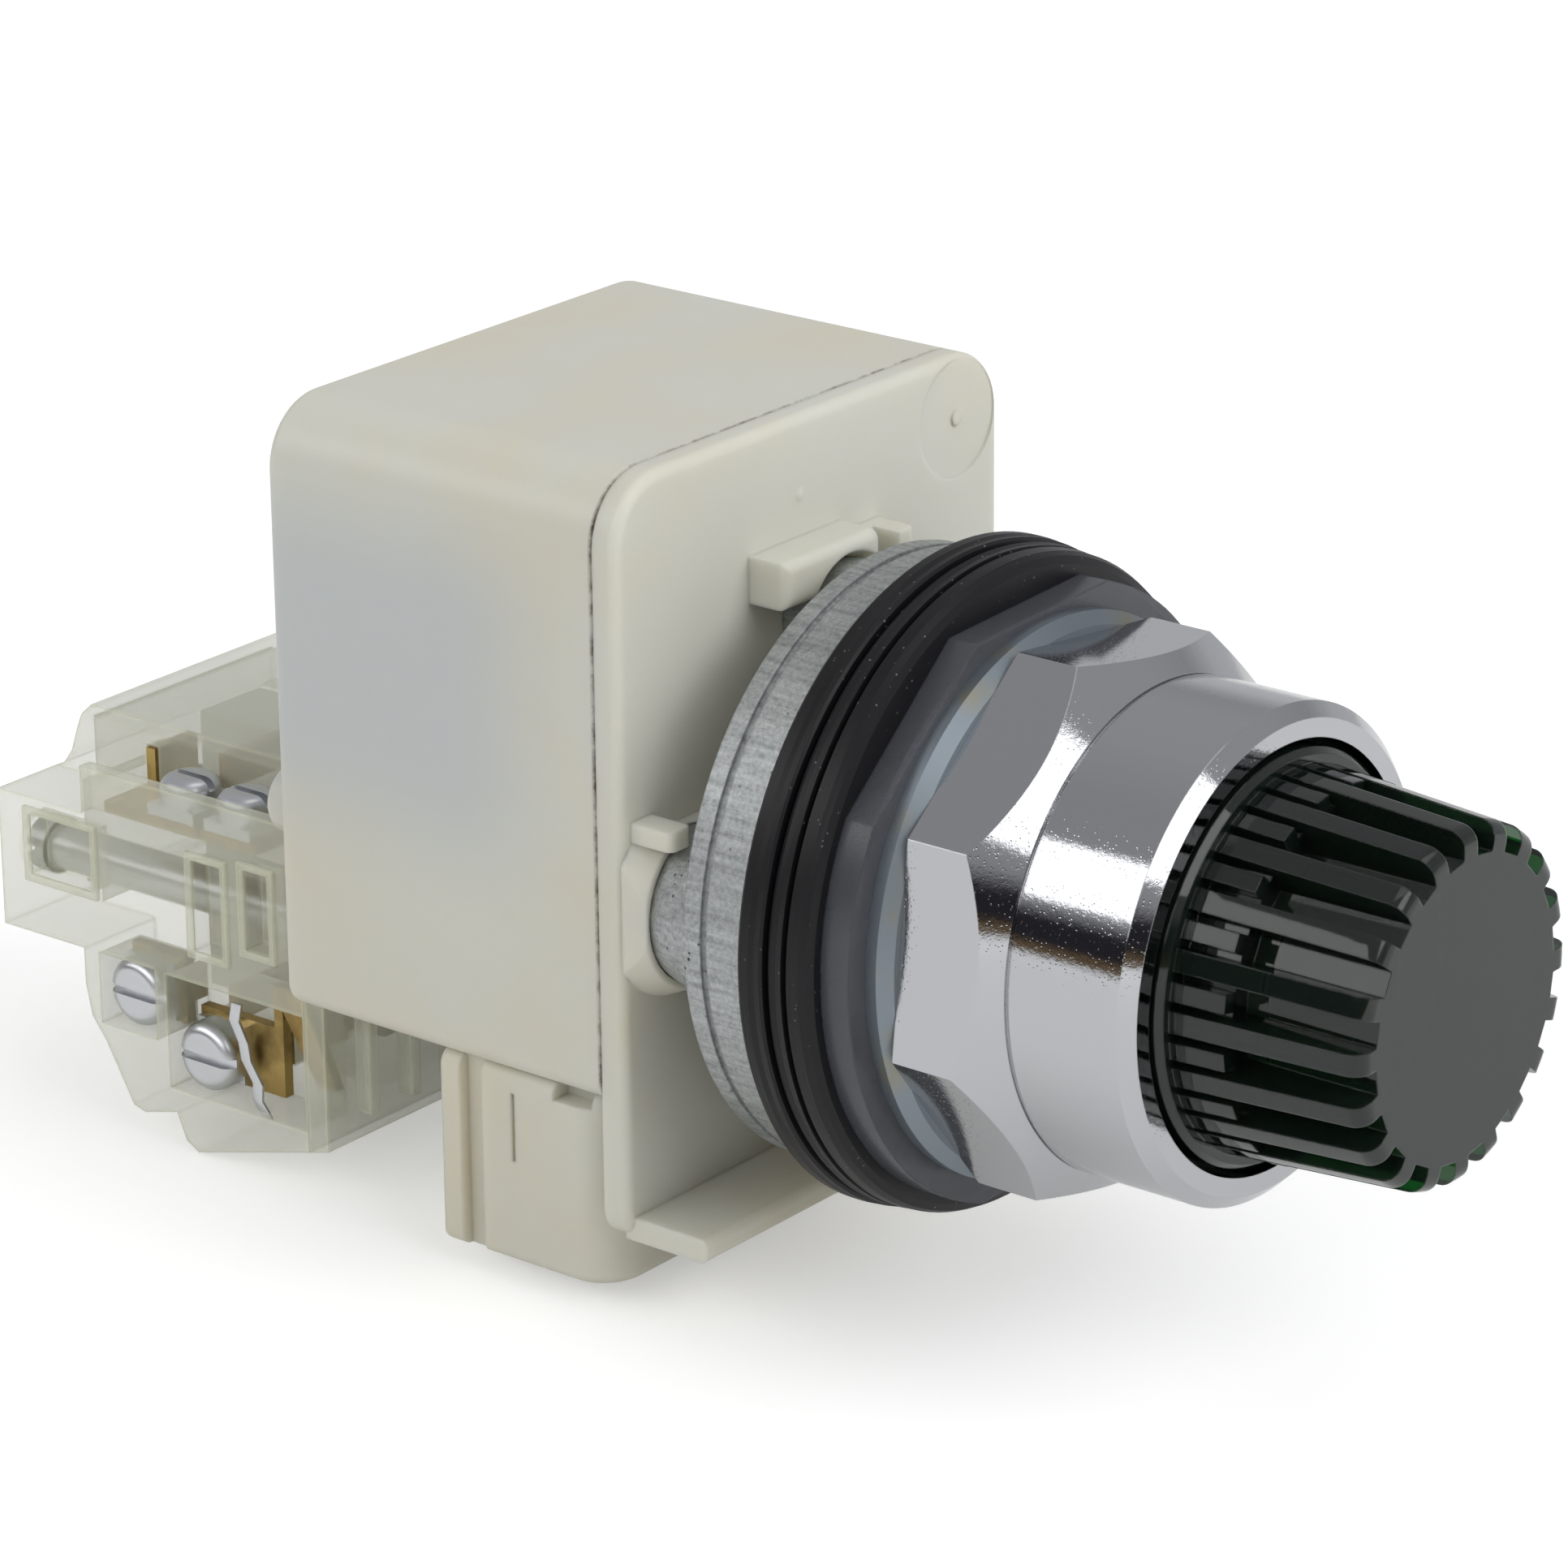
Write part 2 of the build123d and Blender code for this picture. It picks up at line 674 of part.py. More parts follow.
def module_screws():
    """Two long screws from the back of the posts into the casting's lugs."""
    screws = []
    head_start = post_rear - 2 * screw_head_length
    for side in (-1, 1):
        x = side * post_circle
        start = plate_front - lug_thread_depth
        screws.append(slotted_screw(x, 0, start, head_start, head_start + screw_head_length))
    return screws


def slotted_screw(x, z, start, head_start, end):
    """Screw along Y with its slotted head at the back."""
    screw = rod_y(screw_radius, start, end, x, z) + rod_y(screw_head_radius, head_start, end, x, z)
    reach = screw_head_radius + 1
    depth = screw_head_length / 2
    return screw - block((x - reach, x + reach), (end - depth, end + 1), (z - screw_slot / 2, z + screw_slot / 2))


def core():
    """Laminated iron core with a middle limb and two windows, on its side behind the lamp."""
    low = core_bottom
    high = low + core_height
    body = block((-core_half_width, core_half_width), (core_front, core_front + core_stack), (low, high))
    margin = (core_height - core_window_height) / 2
    for side in (-1, 1):
        window_x = sorted((side * core_limb, side * (core_half_width - core_limb)))
        body -= block(window_x, (core_front - 1, core_front + core_stack + 1), (low + margin, high - margin))
    return body


def winding_box(layer, low, high):
    """Box around the core's middle limb, a layer's thickness outside it."""
    wide = core_limb + layer
    return block((-wide, wide), (core_front - layer, core_front + core_stack + layer), (low, high))


def winding_room():
    """Thickness of the windings: what the windows leave beside the bobbin's wall."""
    window = core_half_width - 2 * core_limb
    return min(winding_depth, window - bobbin_wall - 3 * fit_play)


def bobbin():
    """Nylon bobbin around the middle limb, with two ends and a wall between the windings."""
    margin = (core_height - core_window_height) / 2
    low = core_bottom + margin + fit_play
    high = core_bottom + core_height - margin - fit_play
    tube = fit_play + bobbin_wall
    flange = tube + winding_room()
    middle = (low + high) / 2
    body = winding_box(tube, low, high)
    half_gap = winding_gap / 2
    body += winding_box(flange, low, low + bobbin_wall)
    body += winding_box(flange, middle - half_gap, middle + half_gap)
    body += winding_box(flange, high - bobbin_wall, high)
    return body - winding_box(fit_play, low - 1, high + 1)


def winding(upper):
    """Copper winding in one half of the bobbin."""
    margin = (core_height - core_window_height) / 2
    low = core_bottom + margin + fit_play + bobbin_wall
    high = core_bottom + core_height - margin - fit_play - bobbin_wall
    middle = (low + high) / 2
    z_range = (middle + winding_gap / 2, high) if upper else (low, middle - winding_gap / 2)
    tube = fit_play + bobbin_wall
    body = winding_box(tube + winding_room() - fit_play, *z_range)
    body = fillet(body.edges().filter_by(Axis.Z), 1.5)
    return body - winding_box(tube, z_range[0] - 1, z_range[1] + 1)


def terminal_box():
    """Box for the supply terminals: open window at the back, wire holes in its floor."""
    top = cover_bottom
    rear = plate_rear + box_depth
    body = block((-box_half_width, box_half_width), (plate_rear, rear), (box_bottom, top))
    body = fillet(body.edges().filter_by(Axis.Z).group_by(Axis.Y)[0], box_corner_round)
    body = fillet(body.faces().sort_by(Axis.Z)[0].edges(), box_edge_round)
    body = fillet(body.edges().filter_by(Axis.Y).group_by(Axis.Z)[-1], box_top_round)
    groove = rear - box_groove_from_back
    half = box_groove_width / 2
    deep = box_half_width - box_groove_depth
    outside = box_half_width + 1
    for side in (-1, 1):
        side_x = sorted((side * deep, side * outside))
        body -= block(side_x, (groove - half, groove + half), (box_bottom - 1, top + 1))
        slit = plate_rear + box_slit_from_plate
        slit_z = (top - box_slit_length - box_wall, top - box_wall)
        body -= block(side_x, (slit - box_slit_width / 2, slit + box_slit_width / 2), slit_z)
        notch = plate_rear + box_notch_from_plate
        notch_x = sorted((side * (box_half_width - box_wall), side * outside))
        body -= block(notch_x, (notch, notch + box_notch_length), (top - box_notch_height, top + 1))
        x = side * supply_spacing / 2
        inner = supply_window / 2
        room_z = (box_bottom + box_wall, top - box_wall)
        body -= block((x - inner, x + inner), (plate_rear + box_wall, rear + 1), room_z)
        body -= rod_z(supply_wire_radius, box_bottom - 1, box_bottom + box_wall + 1, x, rear - wire_hole_from_back)
    return body


def supply_terminals():
    """Brass angle in each room of the terminal box."""
    pieces = []
    front = plate_rear + box_wall
    half = supply_strip_width / 2
    for side in (-1, 1):
        x = side * supply_spacing / 2
        low = box_bottom + box_wall + fit_play
        high = cover_bottom - box_wall - fit_play
        upright = block((x - half, x + half), (front, front + supply_strip), (low, high))
        middle = (low + high) / 2
        foot = block((x - half, x + half), (front, front + 3 * supply_strip), (high - supply_strip, high))
        hole = rod_y(supply_screw_radius + fit_play, front - 1, front + 1 + supply_strip, x, middle)
        pieces.append(upright + foot - hole)
    return pieces


def supply_screws():
    """Slotted steel screws on the supply terminals, turned from the back."""
    pieces = []
    start = plate_rear + box_wall
    seat = start + supply_strip
    end = seat + supply_head_length
    middle = (box_bottom + cover_bottom) / 2
    for side in (-1, 1):
        x = side * supply_spacing / 2
        screw = rod_y(supply_screw_radius, start, end, x, middle)
        screw += rod_y(supply_head_radius, seat, end, x, middle)
        slot_x = (x - 2 * supply_head_radius, x + 2 * supply_head_radius)
        slot_z = (middle - screw_slot / 2, middle + screw_slot / 2)
        pieces.append(screw - block(slot_x, (end - supply_head_length / 2, end + 1), slot_z))
    return pieces


def push_rod():
    """Rod between the sleeve and the contact carrier, under the transformer."""
    return rod_y(rod_radius, sleeve_tail + seat_gap, carrier_front() - seat_gap, 0, rod_height)


def carrier_front():
    """Front end of the contact carrier's stem, inside the cover's rear wall."""
    return cover_rear - cover_wall + seat_gap


def lower_outline():
    """Side view of the block's lower half: two lobes that slope down to the back."""
    front = block_front_face
    shoulder = front + lower_shoulder_depth
    spine_low = block_centre - spine_half_height
    step = front + lower_step_depth
    rear_low = spine_low - lower_rear_drop
    front_low = spine_low - lower_front_drop
    points = [(front, block_centre), (shoulder, block_centre), (shoulder, spine_low - 2.6)]
    points += [(shoulder - 0.5, spine_low - 4.9), (shoulder - 1.7, spine_low - 6.4)]
    points += [(shoulder - 4.1, rear_low), (shoulder - 5.2, rear_low - 0.3), (step, rear_low + 0.5)]
    return points + [(step - 0.8, front_low + 0.6), (step - 1.9, front_low), (front, front_low + lower_slope)]


def upper_outline():
    """Side view of the block's upper half: a roof with a soft step down at the back."""
    high = block_centre + spine_half_height
    top = high + upper_rise
    roof_end = block_front_face + upper_roof_depth
    points = [(block_front_face, block_centre), (block_rear, block_centre), (block_rear, high)]
    points += [(block_rear - 0.9, high + 0.4), (block_rear - 1.7, high + 1.5), (block_rear - 2.3, high + 3.2)]
    return points + [(roof_end + 1.0, top - 0.9), (roof_end, top), (block_front_face, top)]


def block_slice(start, end):
    """Outer form of the contact block between two depths."""
    wide = block_half_width
    spine_z = (block_centre - spine_half_height, block_centre + spine_half_height)
    whole = block((-wide, wide), (block_front_face, block_rear), spine_z)
    whole += side_solid(upper_outline(), -upper_half_width, upper_half_width)
    whole += side_solid(lower_outline(), -wide, wide)
    rail_y = (block_front_face, block_front_face + rail_length)
    for side in (-1, 1):
        rail_x = sorted((side * (wide - rail_wall), side * wide))
        whole += block(rail_x, rail_y, (spine_z[1] - 1, spine_z[1] + rail_height))
    return whole & block((-2 * wide, 2 * wide), (start, end), (-2 * wide, 2 * wide))


def contact_rows():
    """Heights of the two rows of contacts."""
    return (block_centre + contact_row_rise, block_centre - contact_row_drop)


def stations():
    """Depths of the fixed contacts' front faces: normally closed, then normally open."""
    return (block_front_face + nc_from_block_front, block_front_face + no_from_block_front)


def tab_range(station, row):
    """Depths that a terminal tab covers: behind a normally closed contact, before an open one."""
    wide = 2 * terminal_tab_half
    if station == stations()[0]:
        if row == contact_rows()[1]:
            wide += nc_lower_shift
        return (station, station + wide)
    if row == contact_rows()[0]:
        wide += no_upper_shift
    return (station + contact_strip - wide, station + contact_strip)


def tab_middle(station):
    """Height of a lower terminal's screw."""
    row = contact_rows()[1]
    return row - nc_lower_drop if station == stations()[0] else row + no_lower_lift


def fixed_contact(station, row, side):
    """Brass strip: a leg into the block beside the bridge and a tab under the terminal's screw."""
    leg_in = side * (contact_bar_half - contact_overlap)
    half = contact_bar_height / 2
    y_range = tab_range(station, row)
    leg_y = (station, station + contact_strip)
    if row == contact_rows()[0]:
        ledge = block_centre + spine_half_height
        leg_out = side * (upper_half_width + 2 * fit_play)
        leg = block(sorted((leg_in, leg_out)), leg_y, (ledge, row + half))
        tab_x = sorted((side * (upper_half_width + fit_play), side * (block_half_width - rail_wall - fit_play)))
        return leg + block(tab_x, y_range, (ledge, ledge + contact_strip))
    plate_x = block_half_width - lower_side_open
    leg = block(sorted((leg_in, side * plate_x)), leg_y, (row - half, row + half))
    middle = tab_middle(station)
    tab_x = sorted((side * (plate_x - contact_strip), side * plate_x))
    strip = leg + block(tab_x, y_range, (middle - terminal_tab_half, middle + terminal_tab_half))
    if station == stations()[0]:
        strip += side_solid(blade_outline(station, middle), *tab_x)
    return strip


def blade_outline(station, middle):
    """Side view of the sloping blade in front of a lower normally closed terminal."""
    high = middle + terminal_tab_half + nc_blade_rise
    low = high - nc_blade_drop
    tip = station - nc_blade_reach
    top = station - nc_blade_width
    wide = nc_blade_width
    points = [(station + contact_strip, middle), (station + contact_strip, high), (top, high), (tip, low)]
    return points + [(tip + wide, low), (station, high - wide), (station, middle)]


def fixed_contacts(station):
    """The four strips of one kind: two rows, two sides."""
    strips = []
    for row in contact_rows():
        for side in (-1, 1):
            strips.append(fixed_contact(station, row, side))
    return strips


def terminal_place(station, row):
    """Depth of a terminal's screw: the far end of a lower closed contact's tab, else the near end."""
    start, end = tab_range(station, row)
    if station == stations()[0]:
        return end - terminal_tab_half
    return start + terminal_tab_half


def terminal_hardware(part):
    """The eight clamp plates or the eight slotted screws of the terminals."""
    pieces = []
    ledge = block_centre + spine_half_height + contact_strip
    plate_x = block_half_width - lower_side_open
    upper_x = block_half_width - rail_wall - fit_play - clamp_half
    lift = clamp_thickness
    for station in stations():
        for row in contact_rows():
            y = terminal_place(station, row)
            for side in (-1, 1):
                if row == contact_rows()[0]:
                    place = Pos(side * upper_x, y, ledge)
                    head_radius = clamp_half
                else:
                    place = Pos(side * plate_x, y, tab_middle(station)) * Rot(0, side * 90, 0)
                    head_radius = terminal_tab_half
                if part == "clamp":
                    plate = block((-clamp_half, clamp_half), (-clamp_half, clamp_half), (0, lift))
                    hole = rod_z(terminal_screw_radius + fit_play, -1, lift + 1)
                    pieces.append(place * (plate - hole))
                else:
                    head = rod_z(head_radius, lift, lift + terminal_head_length)
                    head = fillet(head.edges().group_by(Axis.Z)[-1], terminal_head_length / 2)
                    head += rod_z(terminal_screw_radius, 0, lift + terminal_head_length / 2)
                    slot_z = (lift + 0.6 * terminal_head_length, lift + terminal_head_length + 1)
                    slot_x = (-screw_slot / 2, screw_slot / 2)
                    pieces.append(place * (head - block(slot_x, (-head_radius - 1, head_radius + 1), slot_z)))
    return pieces


def block_housing():
    """Clear body of the contact block: hollow, with ledges and side openings for the terminals."""
    body = block_slice(chamber_front, block_rear)
    upper, lower = contact_rows()
    tall = contact_bar_height / 2 + fit_play
    low = lower - tall - carrier_wall - loose_play
    high = upper + contact_bar_height / 2 + loose_play
    half = contact_bar_half + loose_play
    rear = block_rear - block_wall
    deep = carrier_rear() + stroke + loose_play
    body -= block((-half, half), (chamber_front - 1, deep), (low, high))
    spine_z = (block_centre - spine_half_height + block_wall, block_centre + spine_half_height - block_wall)
    body -= block((-half, half), (chamber_front - 1, rear), spine_z)
    for station in stations():
        for side in (-1, 1):
            leg_y = (station - fit_play, station + contact_strip + fit_play)
            ledge = block_centre + spine_half_height
            slot_x = sorted((side * (half - 1), side * (upper_half_width + 1)))
            body -= block(slot_x, leg_y, (ledge, upper + tall))
            plate_x = block_half_width - lower_side_open
            slot_x = sorted((side * (half - 1), side * (plate_x + fit_play)))
            body -= block(slot_x, leg_y, (lower - tall, lower + tall))
            room_x = sorted((side * (plate_x - contact_strip - fit_play), side * (block_half_width + 1)))
            y_low, y_high = tab_range(station, lower)
            middle = tab_middle(station)
            z_low = middle - terminal_tab_half - fit_play
            z_high = middle + terminal_tab_half + fit_play
            if station == stations()[0]:
                y_low = station - nc_blade_reach
                z_high += nc_blade_rise
            body -= block(room_x, (y_low - fit_play, y_high + fit_play), (z_low, z_high))
    for y_range, z_range in spine_windows:
        window_y = [block_front_face + y for y in y_range]
        window_z = [block_centre + z for z in z_range]
        for side in (-1, 1):
            window_x = sorted((side * (block_half_width - spine_window_depth), side * (block_half_width + 1)))
            body -= block(window_x, window_y, window_z)
    for side in (-1, 1):
        x = side * block_screw_spacing / 2
        body -= rod_y(screw_radius + fit_play, chamber_front - 1, block_rear + 1, x, block_centre)
        head_start = block_rear - block_screw_head_length
        body -= rod_y(screw_head_radius + fit_play, head_start, block_rear + 1, x, block_centre)
    return body


def block_front():
    """Clear front cover of the contact block, with the hole that guides the carrier's stem."""
    body = block_slice(block_front_face, chamber_front)
    body -= rod_y(carrier_stem_radius + slide_play, block_front_face - 1, chamber_front + 1, 0, block_centre)
    for side in (-1, 1):
        x = side * block_screw_spacing / 2
        body -= rod_y(screw_radius + fit_play, block_front_face - 1, chamber_front + 1, x, block_centre)
    return body


def block_screws():
    """Two screws from the back of the contact block into the cover's rear bosses."""
    start = cover_rear - block_screw_grip
    head_start = block_rear - block_screw_head_length
    end = head_start + screw_head_length
    half = block_screw_spacing / 2
    return [slotted_screw(x, block_centre, start, head_start, end) for x in (-half, half)]


def carrier_rear():
    """Back face of the contact carrier's body at rest."""
    return block_front_face + carrier_back_from_front


def bar_places():
    """Depths of the bridges' front faces at rest: one row touches its contacts, one is open."""
    nc, no = stations()
    return (nc + contact_strip + contact_gap, no - contact_gap - stroke - contact_strip)


def carrier_windows():
    """Depth ranges of the carrier's windows: a bridge at one end and its spring behind it."""
    nc_bar, no_bar = bar_places()
    room = (no_bar + contact_strip - nc_bar - carrier_rim) / 2
    return ((nc_bar, nc_bar + room), (no_bar + contact_strip - room, no_bar + contact_strip))


def contact_carrier():
    """Moulded slider with a stem at the front, windows for the bridges and a rear pin."""
    nc_bar, no_bar = bar_places()
    upper, lower = contact_rows()
    tall = contact_bar_height / 2 + fit_play
    rim = min(carrier_rim, nc_bar - chamber_front - fit_play)
    body_front = nc_bar - rim
    low = lower - tall - carrier_wall
    high = upper + contact_bar_height / 2
    half = carrier_half_width
    body = block((-half, half), (body_front, carrier_rear()), (low, high))
    body += rod_y(carrier_stem_radius, carrier_front(), body_front + 1, 0, block_centre)
    body += rod_y(carrier_pin_radius, carrier_rear() - 1, carrier_rear() + carrier_pin_length, 0, block_centre)
    for window in carrier_windows():
        for row in (upper, lower):
            body -= block((-half - 1, half + 1), window, (row - tall, row + tall))
    return body


def bridges(index):
    """The two brass bridge bars of one kind."""
    bars = []
    start = bar_places()[index]
    for row in contact_rows():
        z_range = (row - contact_bar_height / 2, row + contact_bar_height / 2)
        bars.append(block((-contact_bar_half, contact_bar_half), (start, start + contact_strip), z_range))
    return bars


def contact_springs():
    """Small springs that hold the four bridges in the carrier's windows."""
    springs = []
    nc_window, no_window = carrier_windows()
    ranges = ((nc_window[0] + contact_strip, nc_window[1]), (no_window[0], no_window[1] - contact_strip))
    for start, end in ranges:
        for row in contact_rows():
            low = start + fit_play
            high = end - fit_play
            springs.append(coil(contact_spring_radius, contact_spring_wire, low, high, 3, 0, row))
    return springs


def carrier_spring():
    """Spring that returns the carrier, around its rear pin."""
    end = block_rear - block_wall - fit_play
    start = carrier_rear() + fit_play
    return coil(carrier_spring_radius, carrier_spring_wire, start, end, 4, 0, block_centre)


parts = {
    "operator_base": operator_base(),
    "gasket": gasket(),
    "clear_washer": clear_washer(),
    "trim_washer": trim_washer(),
    "ring_nut": ring_nut(),
    "lens_cap": lens_cap(),
    "lens_holder": lens_holder(),
    "spring_retainer": spring_retainer(),
    "return_spring": return_spring(),
    "sleeve_seal": sleeve_seal(),
    "lamp_bulb": lamp_bulb(),
    "lamp_cap": lamp_cap(),
    "lamp_socket": lamp_socket(),
    "socket_insulator": socket_insulator(),
    "socket_contact": socket_contact(),
    "module_plate": module_plate(),
    "transformer_cover": transformer_cover(),
    "module_screws": module_screws(),
    "core": core(),
    "bobbin": bobbin(),
    "primary_winding": winding(True),
    "secondary_winding": winding(False),
    "terminal_box": terminal_box(),
    "supply_terminals": supply_terminals(),
    "supply_screws": supply_screws(),
    "push_rod": push_rod(),
    "block_housing": block_housing(),
    "block_front": block_front(),
    "block_screws": block_screws(),
    "nc_contacts": fixed_contacts(stations()[0]),
    "no_contacts": fixed_contacts(stations()[1]),
    "terminal_clamps": terminal_hardware("clamp"),
    "terminal_screws": terminal_hardware("screw"),
    "contact_carrier": contact_carrier(),
    "nc_bridges": bridges(0),
    "no_bridges": bridges(1),
    "contact_springs": contact_springs(),
    "carrier_spring": carrier_spring(),
}

os.makedirs("parts", exist_ok=True)
for name, shape in parts.items():
    solids = []
    for piece in shape if isinstance(shape, list) else [shape]:
        solids.extend(piece.solids())
    export_step(solids[0] if len(solids) == 1 else Compound(children=solids), f"parts/{name}.step")
    print(name, len(solids), round(sum(solid.volume for solid in solids), 2))
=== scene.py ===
from math import pi, radians

import bmesh
import bpy
from mathutils import Matrix, Vector


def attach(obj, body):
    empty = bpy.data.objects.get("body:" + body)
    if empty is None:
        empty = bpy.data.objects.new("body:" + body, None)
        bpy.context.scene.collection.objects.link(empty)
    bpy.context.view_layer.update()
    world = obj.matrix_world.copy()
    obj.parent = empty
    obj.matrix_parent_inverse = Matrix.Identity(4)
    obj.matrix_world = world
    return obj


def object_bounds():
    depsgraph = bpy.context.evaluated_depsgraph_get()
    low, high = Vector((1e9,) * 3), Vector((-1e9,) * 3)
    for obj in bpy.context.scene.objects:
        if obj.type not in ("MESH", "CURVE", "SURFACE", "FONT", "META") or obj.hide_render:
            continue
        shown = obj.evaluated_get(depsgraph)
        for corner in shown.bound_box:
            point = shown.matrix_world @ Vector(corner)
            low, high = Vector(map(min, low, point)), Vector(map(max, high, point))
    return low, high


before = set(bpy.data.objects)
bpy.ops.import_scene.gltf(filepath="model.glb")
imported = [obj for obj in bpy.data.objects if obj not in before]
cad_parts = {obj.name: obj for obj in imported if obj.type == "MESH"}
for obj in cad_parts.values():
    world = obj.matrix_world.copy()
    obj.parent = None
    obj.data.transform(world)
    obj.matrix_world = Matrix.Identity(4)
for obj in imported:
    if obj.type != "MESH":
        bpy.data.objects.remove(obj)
cad_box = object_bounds()
scene = bpy.context.scene
scene.view_settings.view_transform = "Standard"

# Camera: a long lens a little above the button and to its left, so that the front of the button
# points down to the right and the contact block lies behind it on the left.
mm = 0.001
camera_azimuth = radians(-51.33)
camera_elevation = radians(20.56)
camera_roll = radians(-0.54)
camera_distance = 414.8 * mm
camera_target = Vector((-5.15, 9.50, 5.12)) * mm
picture_pixels = 1932
focal_pixels = 8000
sensor = 36
nearest, farthest = 0.01, 20

bpy.ops.object.select_all(action="DESELECT")
bpy.ops.object.camera_add()
camera = bpy.context.object
turn = Matrix.Rotation(camera_azimuth, 4, "Z") @ Matrix.Rotation(pi / 2 - camera_elevation, 4, "X")
turn = turn @ Matrix.Rotation(camera_roll, 4, "Z")
away = turn @ Vector((0, 0, 1))
camera.matrix_world = Matrix.Translation(camera_target + away * camera_distance) @ turn
camera.data.sensor_width = sensor
camera.data.lens = sensor * focal_pixels / picture_pixels
camera.data.clip_start = nearest
camera.data.clip_end = farthest
scene.camera = camera

# Floor: a smooth sheet of white card under the object, large enough to fill the picture. It glows
# a little to the eye and through glass, so it is white there and still takes shadows, and mirrors
# see less of the glow.
floor_size = 6.0
floor_gap = 0.2 * mm
floor_white = "#F2F2F1"
floor_glow = 0.44
mirror_glow = 0.16


def linear(code):
    """A colour's sRGB hex value as linear red, green, blue and alpha."""
    parts = [int(code[i:i + 2], 16) / 255 for i in (1, 3, 5)]
    return [c / 12.92 if c <= 0.04045 else ((c + 0.055) / 1.055) ** 2.4 for c in parts] + [1.0]


def add_node(tree, kind, inputs=None, **settings):
    """One shader node with its settings. An input is a value or the output that feeds it."""
    made = tree.nodes.new("ShaderNode" + kind)
    for name, value in settings.items():
        setattr(made, name, value)
    for name, value in (inputs or {}).items():
        if isinstance(value, bpy.types.NodeSocket):
            tree.links.new(value, made.inputs[name])
        else:
            made.inputs[name].default_value = value
    return made


def new_material(name):
    """A new material and its empty node tree."""
    material = bpy.data.materials.new(name)
    material.use_nodes = True
    material.node_tree.nodes.clear()
    return material, material.node_tree


bpy.ops.mesh.primitive_plane_add(size=floor_size, location=(0, 0, cad_box[0][2] - floor_gap))
floor = bpy.context.object
floor.name = "floor"
material, tree = new_material("white_card")
path = add_node(tree, "LightPath")
seen = add_node(tree, "Math", {
    0: path.outputs["Is Camera Ray"], 1: path.outputs["Is Transmission Ray"]}, operation="ADD")
mirrored = add_node(tree, "Math", {
    0: path.outputs["Is Glossy Ray"], 1: mirror_glow}, operation="MULTIPLY")
glow = add_node(tree, "Math", {
    0: seen.outputs[0], 1: floor_glow, 2: mirrored.outputs[0]}, operation="MULTIPLY_ADD")
card = add_node(tree, "BsdfDiffuse", {"Color": linear(floor_white)})
light = add_node(tree, "Emission", {"Color": linear(floor_white), "Strength": glow.outputs[0]})
both = add_node(tree, "AddShader", {0: card.outputs[0], 1: light.outputs[0]})
add_node(tree, "OutputMaterial", {"Surface": both.outputs[0]})
floor.data.materials.append(material)

# Studio light: a grey room with one long softbox on the left, one above the camera and one
# overhead. The left wall is dark just over the floor, which gives the chrome its dark and brown
# bands. A fourth lamp in front on the right lights the front plate, and mirrors don't show it.
room_upper = "#A4A4A6"
room_right = "#C4C6C9"
room_corner = "#AEAFB2"
room_dark = "#2B2A2F"
room_brown = "#6A5841"
room_below = "#D8D8D8"
# A wall's colours by height: 0 is straight down, 0.5 is level and 1 is straight up.
left_wall = ((0.49, room_below), (0.50, room_brown), (0.52, room_brown), (0.54, room_dark),
             (0.61, room_dark), (0.66, room_upper))
right_wall = ((0.49, room_below), (0.50, room_right), (0.58, room_right), (0.68, room_upper),
              (0.79, room_corner))
wall_blend = 0.25

world = bpy.data.worlds.new("studio")
world.use_nodes = True
scene.world = world
tree = world.node_tree
tree.nodes.clear()
direction = add_node(tree, "TexCoord")
parts = add_node(tree, "SeparateXYZ", {0: direction.outputs["Generated"]})
height = add_node(tree, "MapRange", {0: parts.outputs["Z"], 1: -1.0, 2: 1.0})
walls = []
for stops in (left_wall, right_wall):
    ramp = add_node(tree, "ValToRGB", {0: height.outputs[0]})
    band = ramp.color_ramp
    while len(band.elements) < len(stops):
        band.elements.new(1.0)
    for element, (position, code) in zip(band.elements, stops):
        element.position = position
        element.color = linear(code)
    walls.append(ramp)
side = add_node(tree, "MapRange", {0: parts.outputs["X"], 1: -wall_blend, 2: wall_blend})
room = add_node(tree, "Mix", {
    0: side.outputs[0], 6: walls[0].outputs[0], 7: walls[1].outputs[0]}, data_type="RGBA")
glow = add_node(tree, "Background", {"Color": room.outputs[2], "Strength": 1.0})
add_node(tree, "OutputWorld", {"Surface": glow.outputs[0]})


def softbox(name, place, width, height, brightness):
    """A rectangular lamp that faces the object; brightness is how white it looks in a mirror."""
    bpy.ops.object.light_add(type="AREA", location=place)
    lamp = bpy.context.object
    lamp.name = name
    lamp.data.shape = "RECTANGLE"
    lamp.data.size = width
    lamp.data.size_y = height
    lamp.data.energy = brightness * pi * width * height
    facing = Vector(place).to_track_quat("Z", "Y").to_matrix().to_4x4()
    lamp.matrix_world = Matrix.Translation(place) @ facing
    return lamp


softbox("left_softbox", (-1.00, 0.35, 0.66), width=2.2, height=0.50, brightness=1.8)
softbox("front_softbox", (-0.20, -1.20, 0.95), width=1.0, height=0.7, brightness=2.2)
softbox("top_softbox", (0.15, -0.35, 1.40), width=0.9, height=0.9, brightness=0.8)
plate_lamp = softbox("plate_lamp", (0.42, -1.16, 0.70), width=0.8, height=0.6, brightness=3.8)
plate_lamp.visible_glossy = False

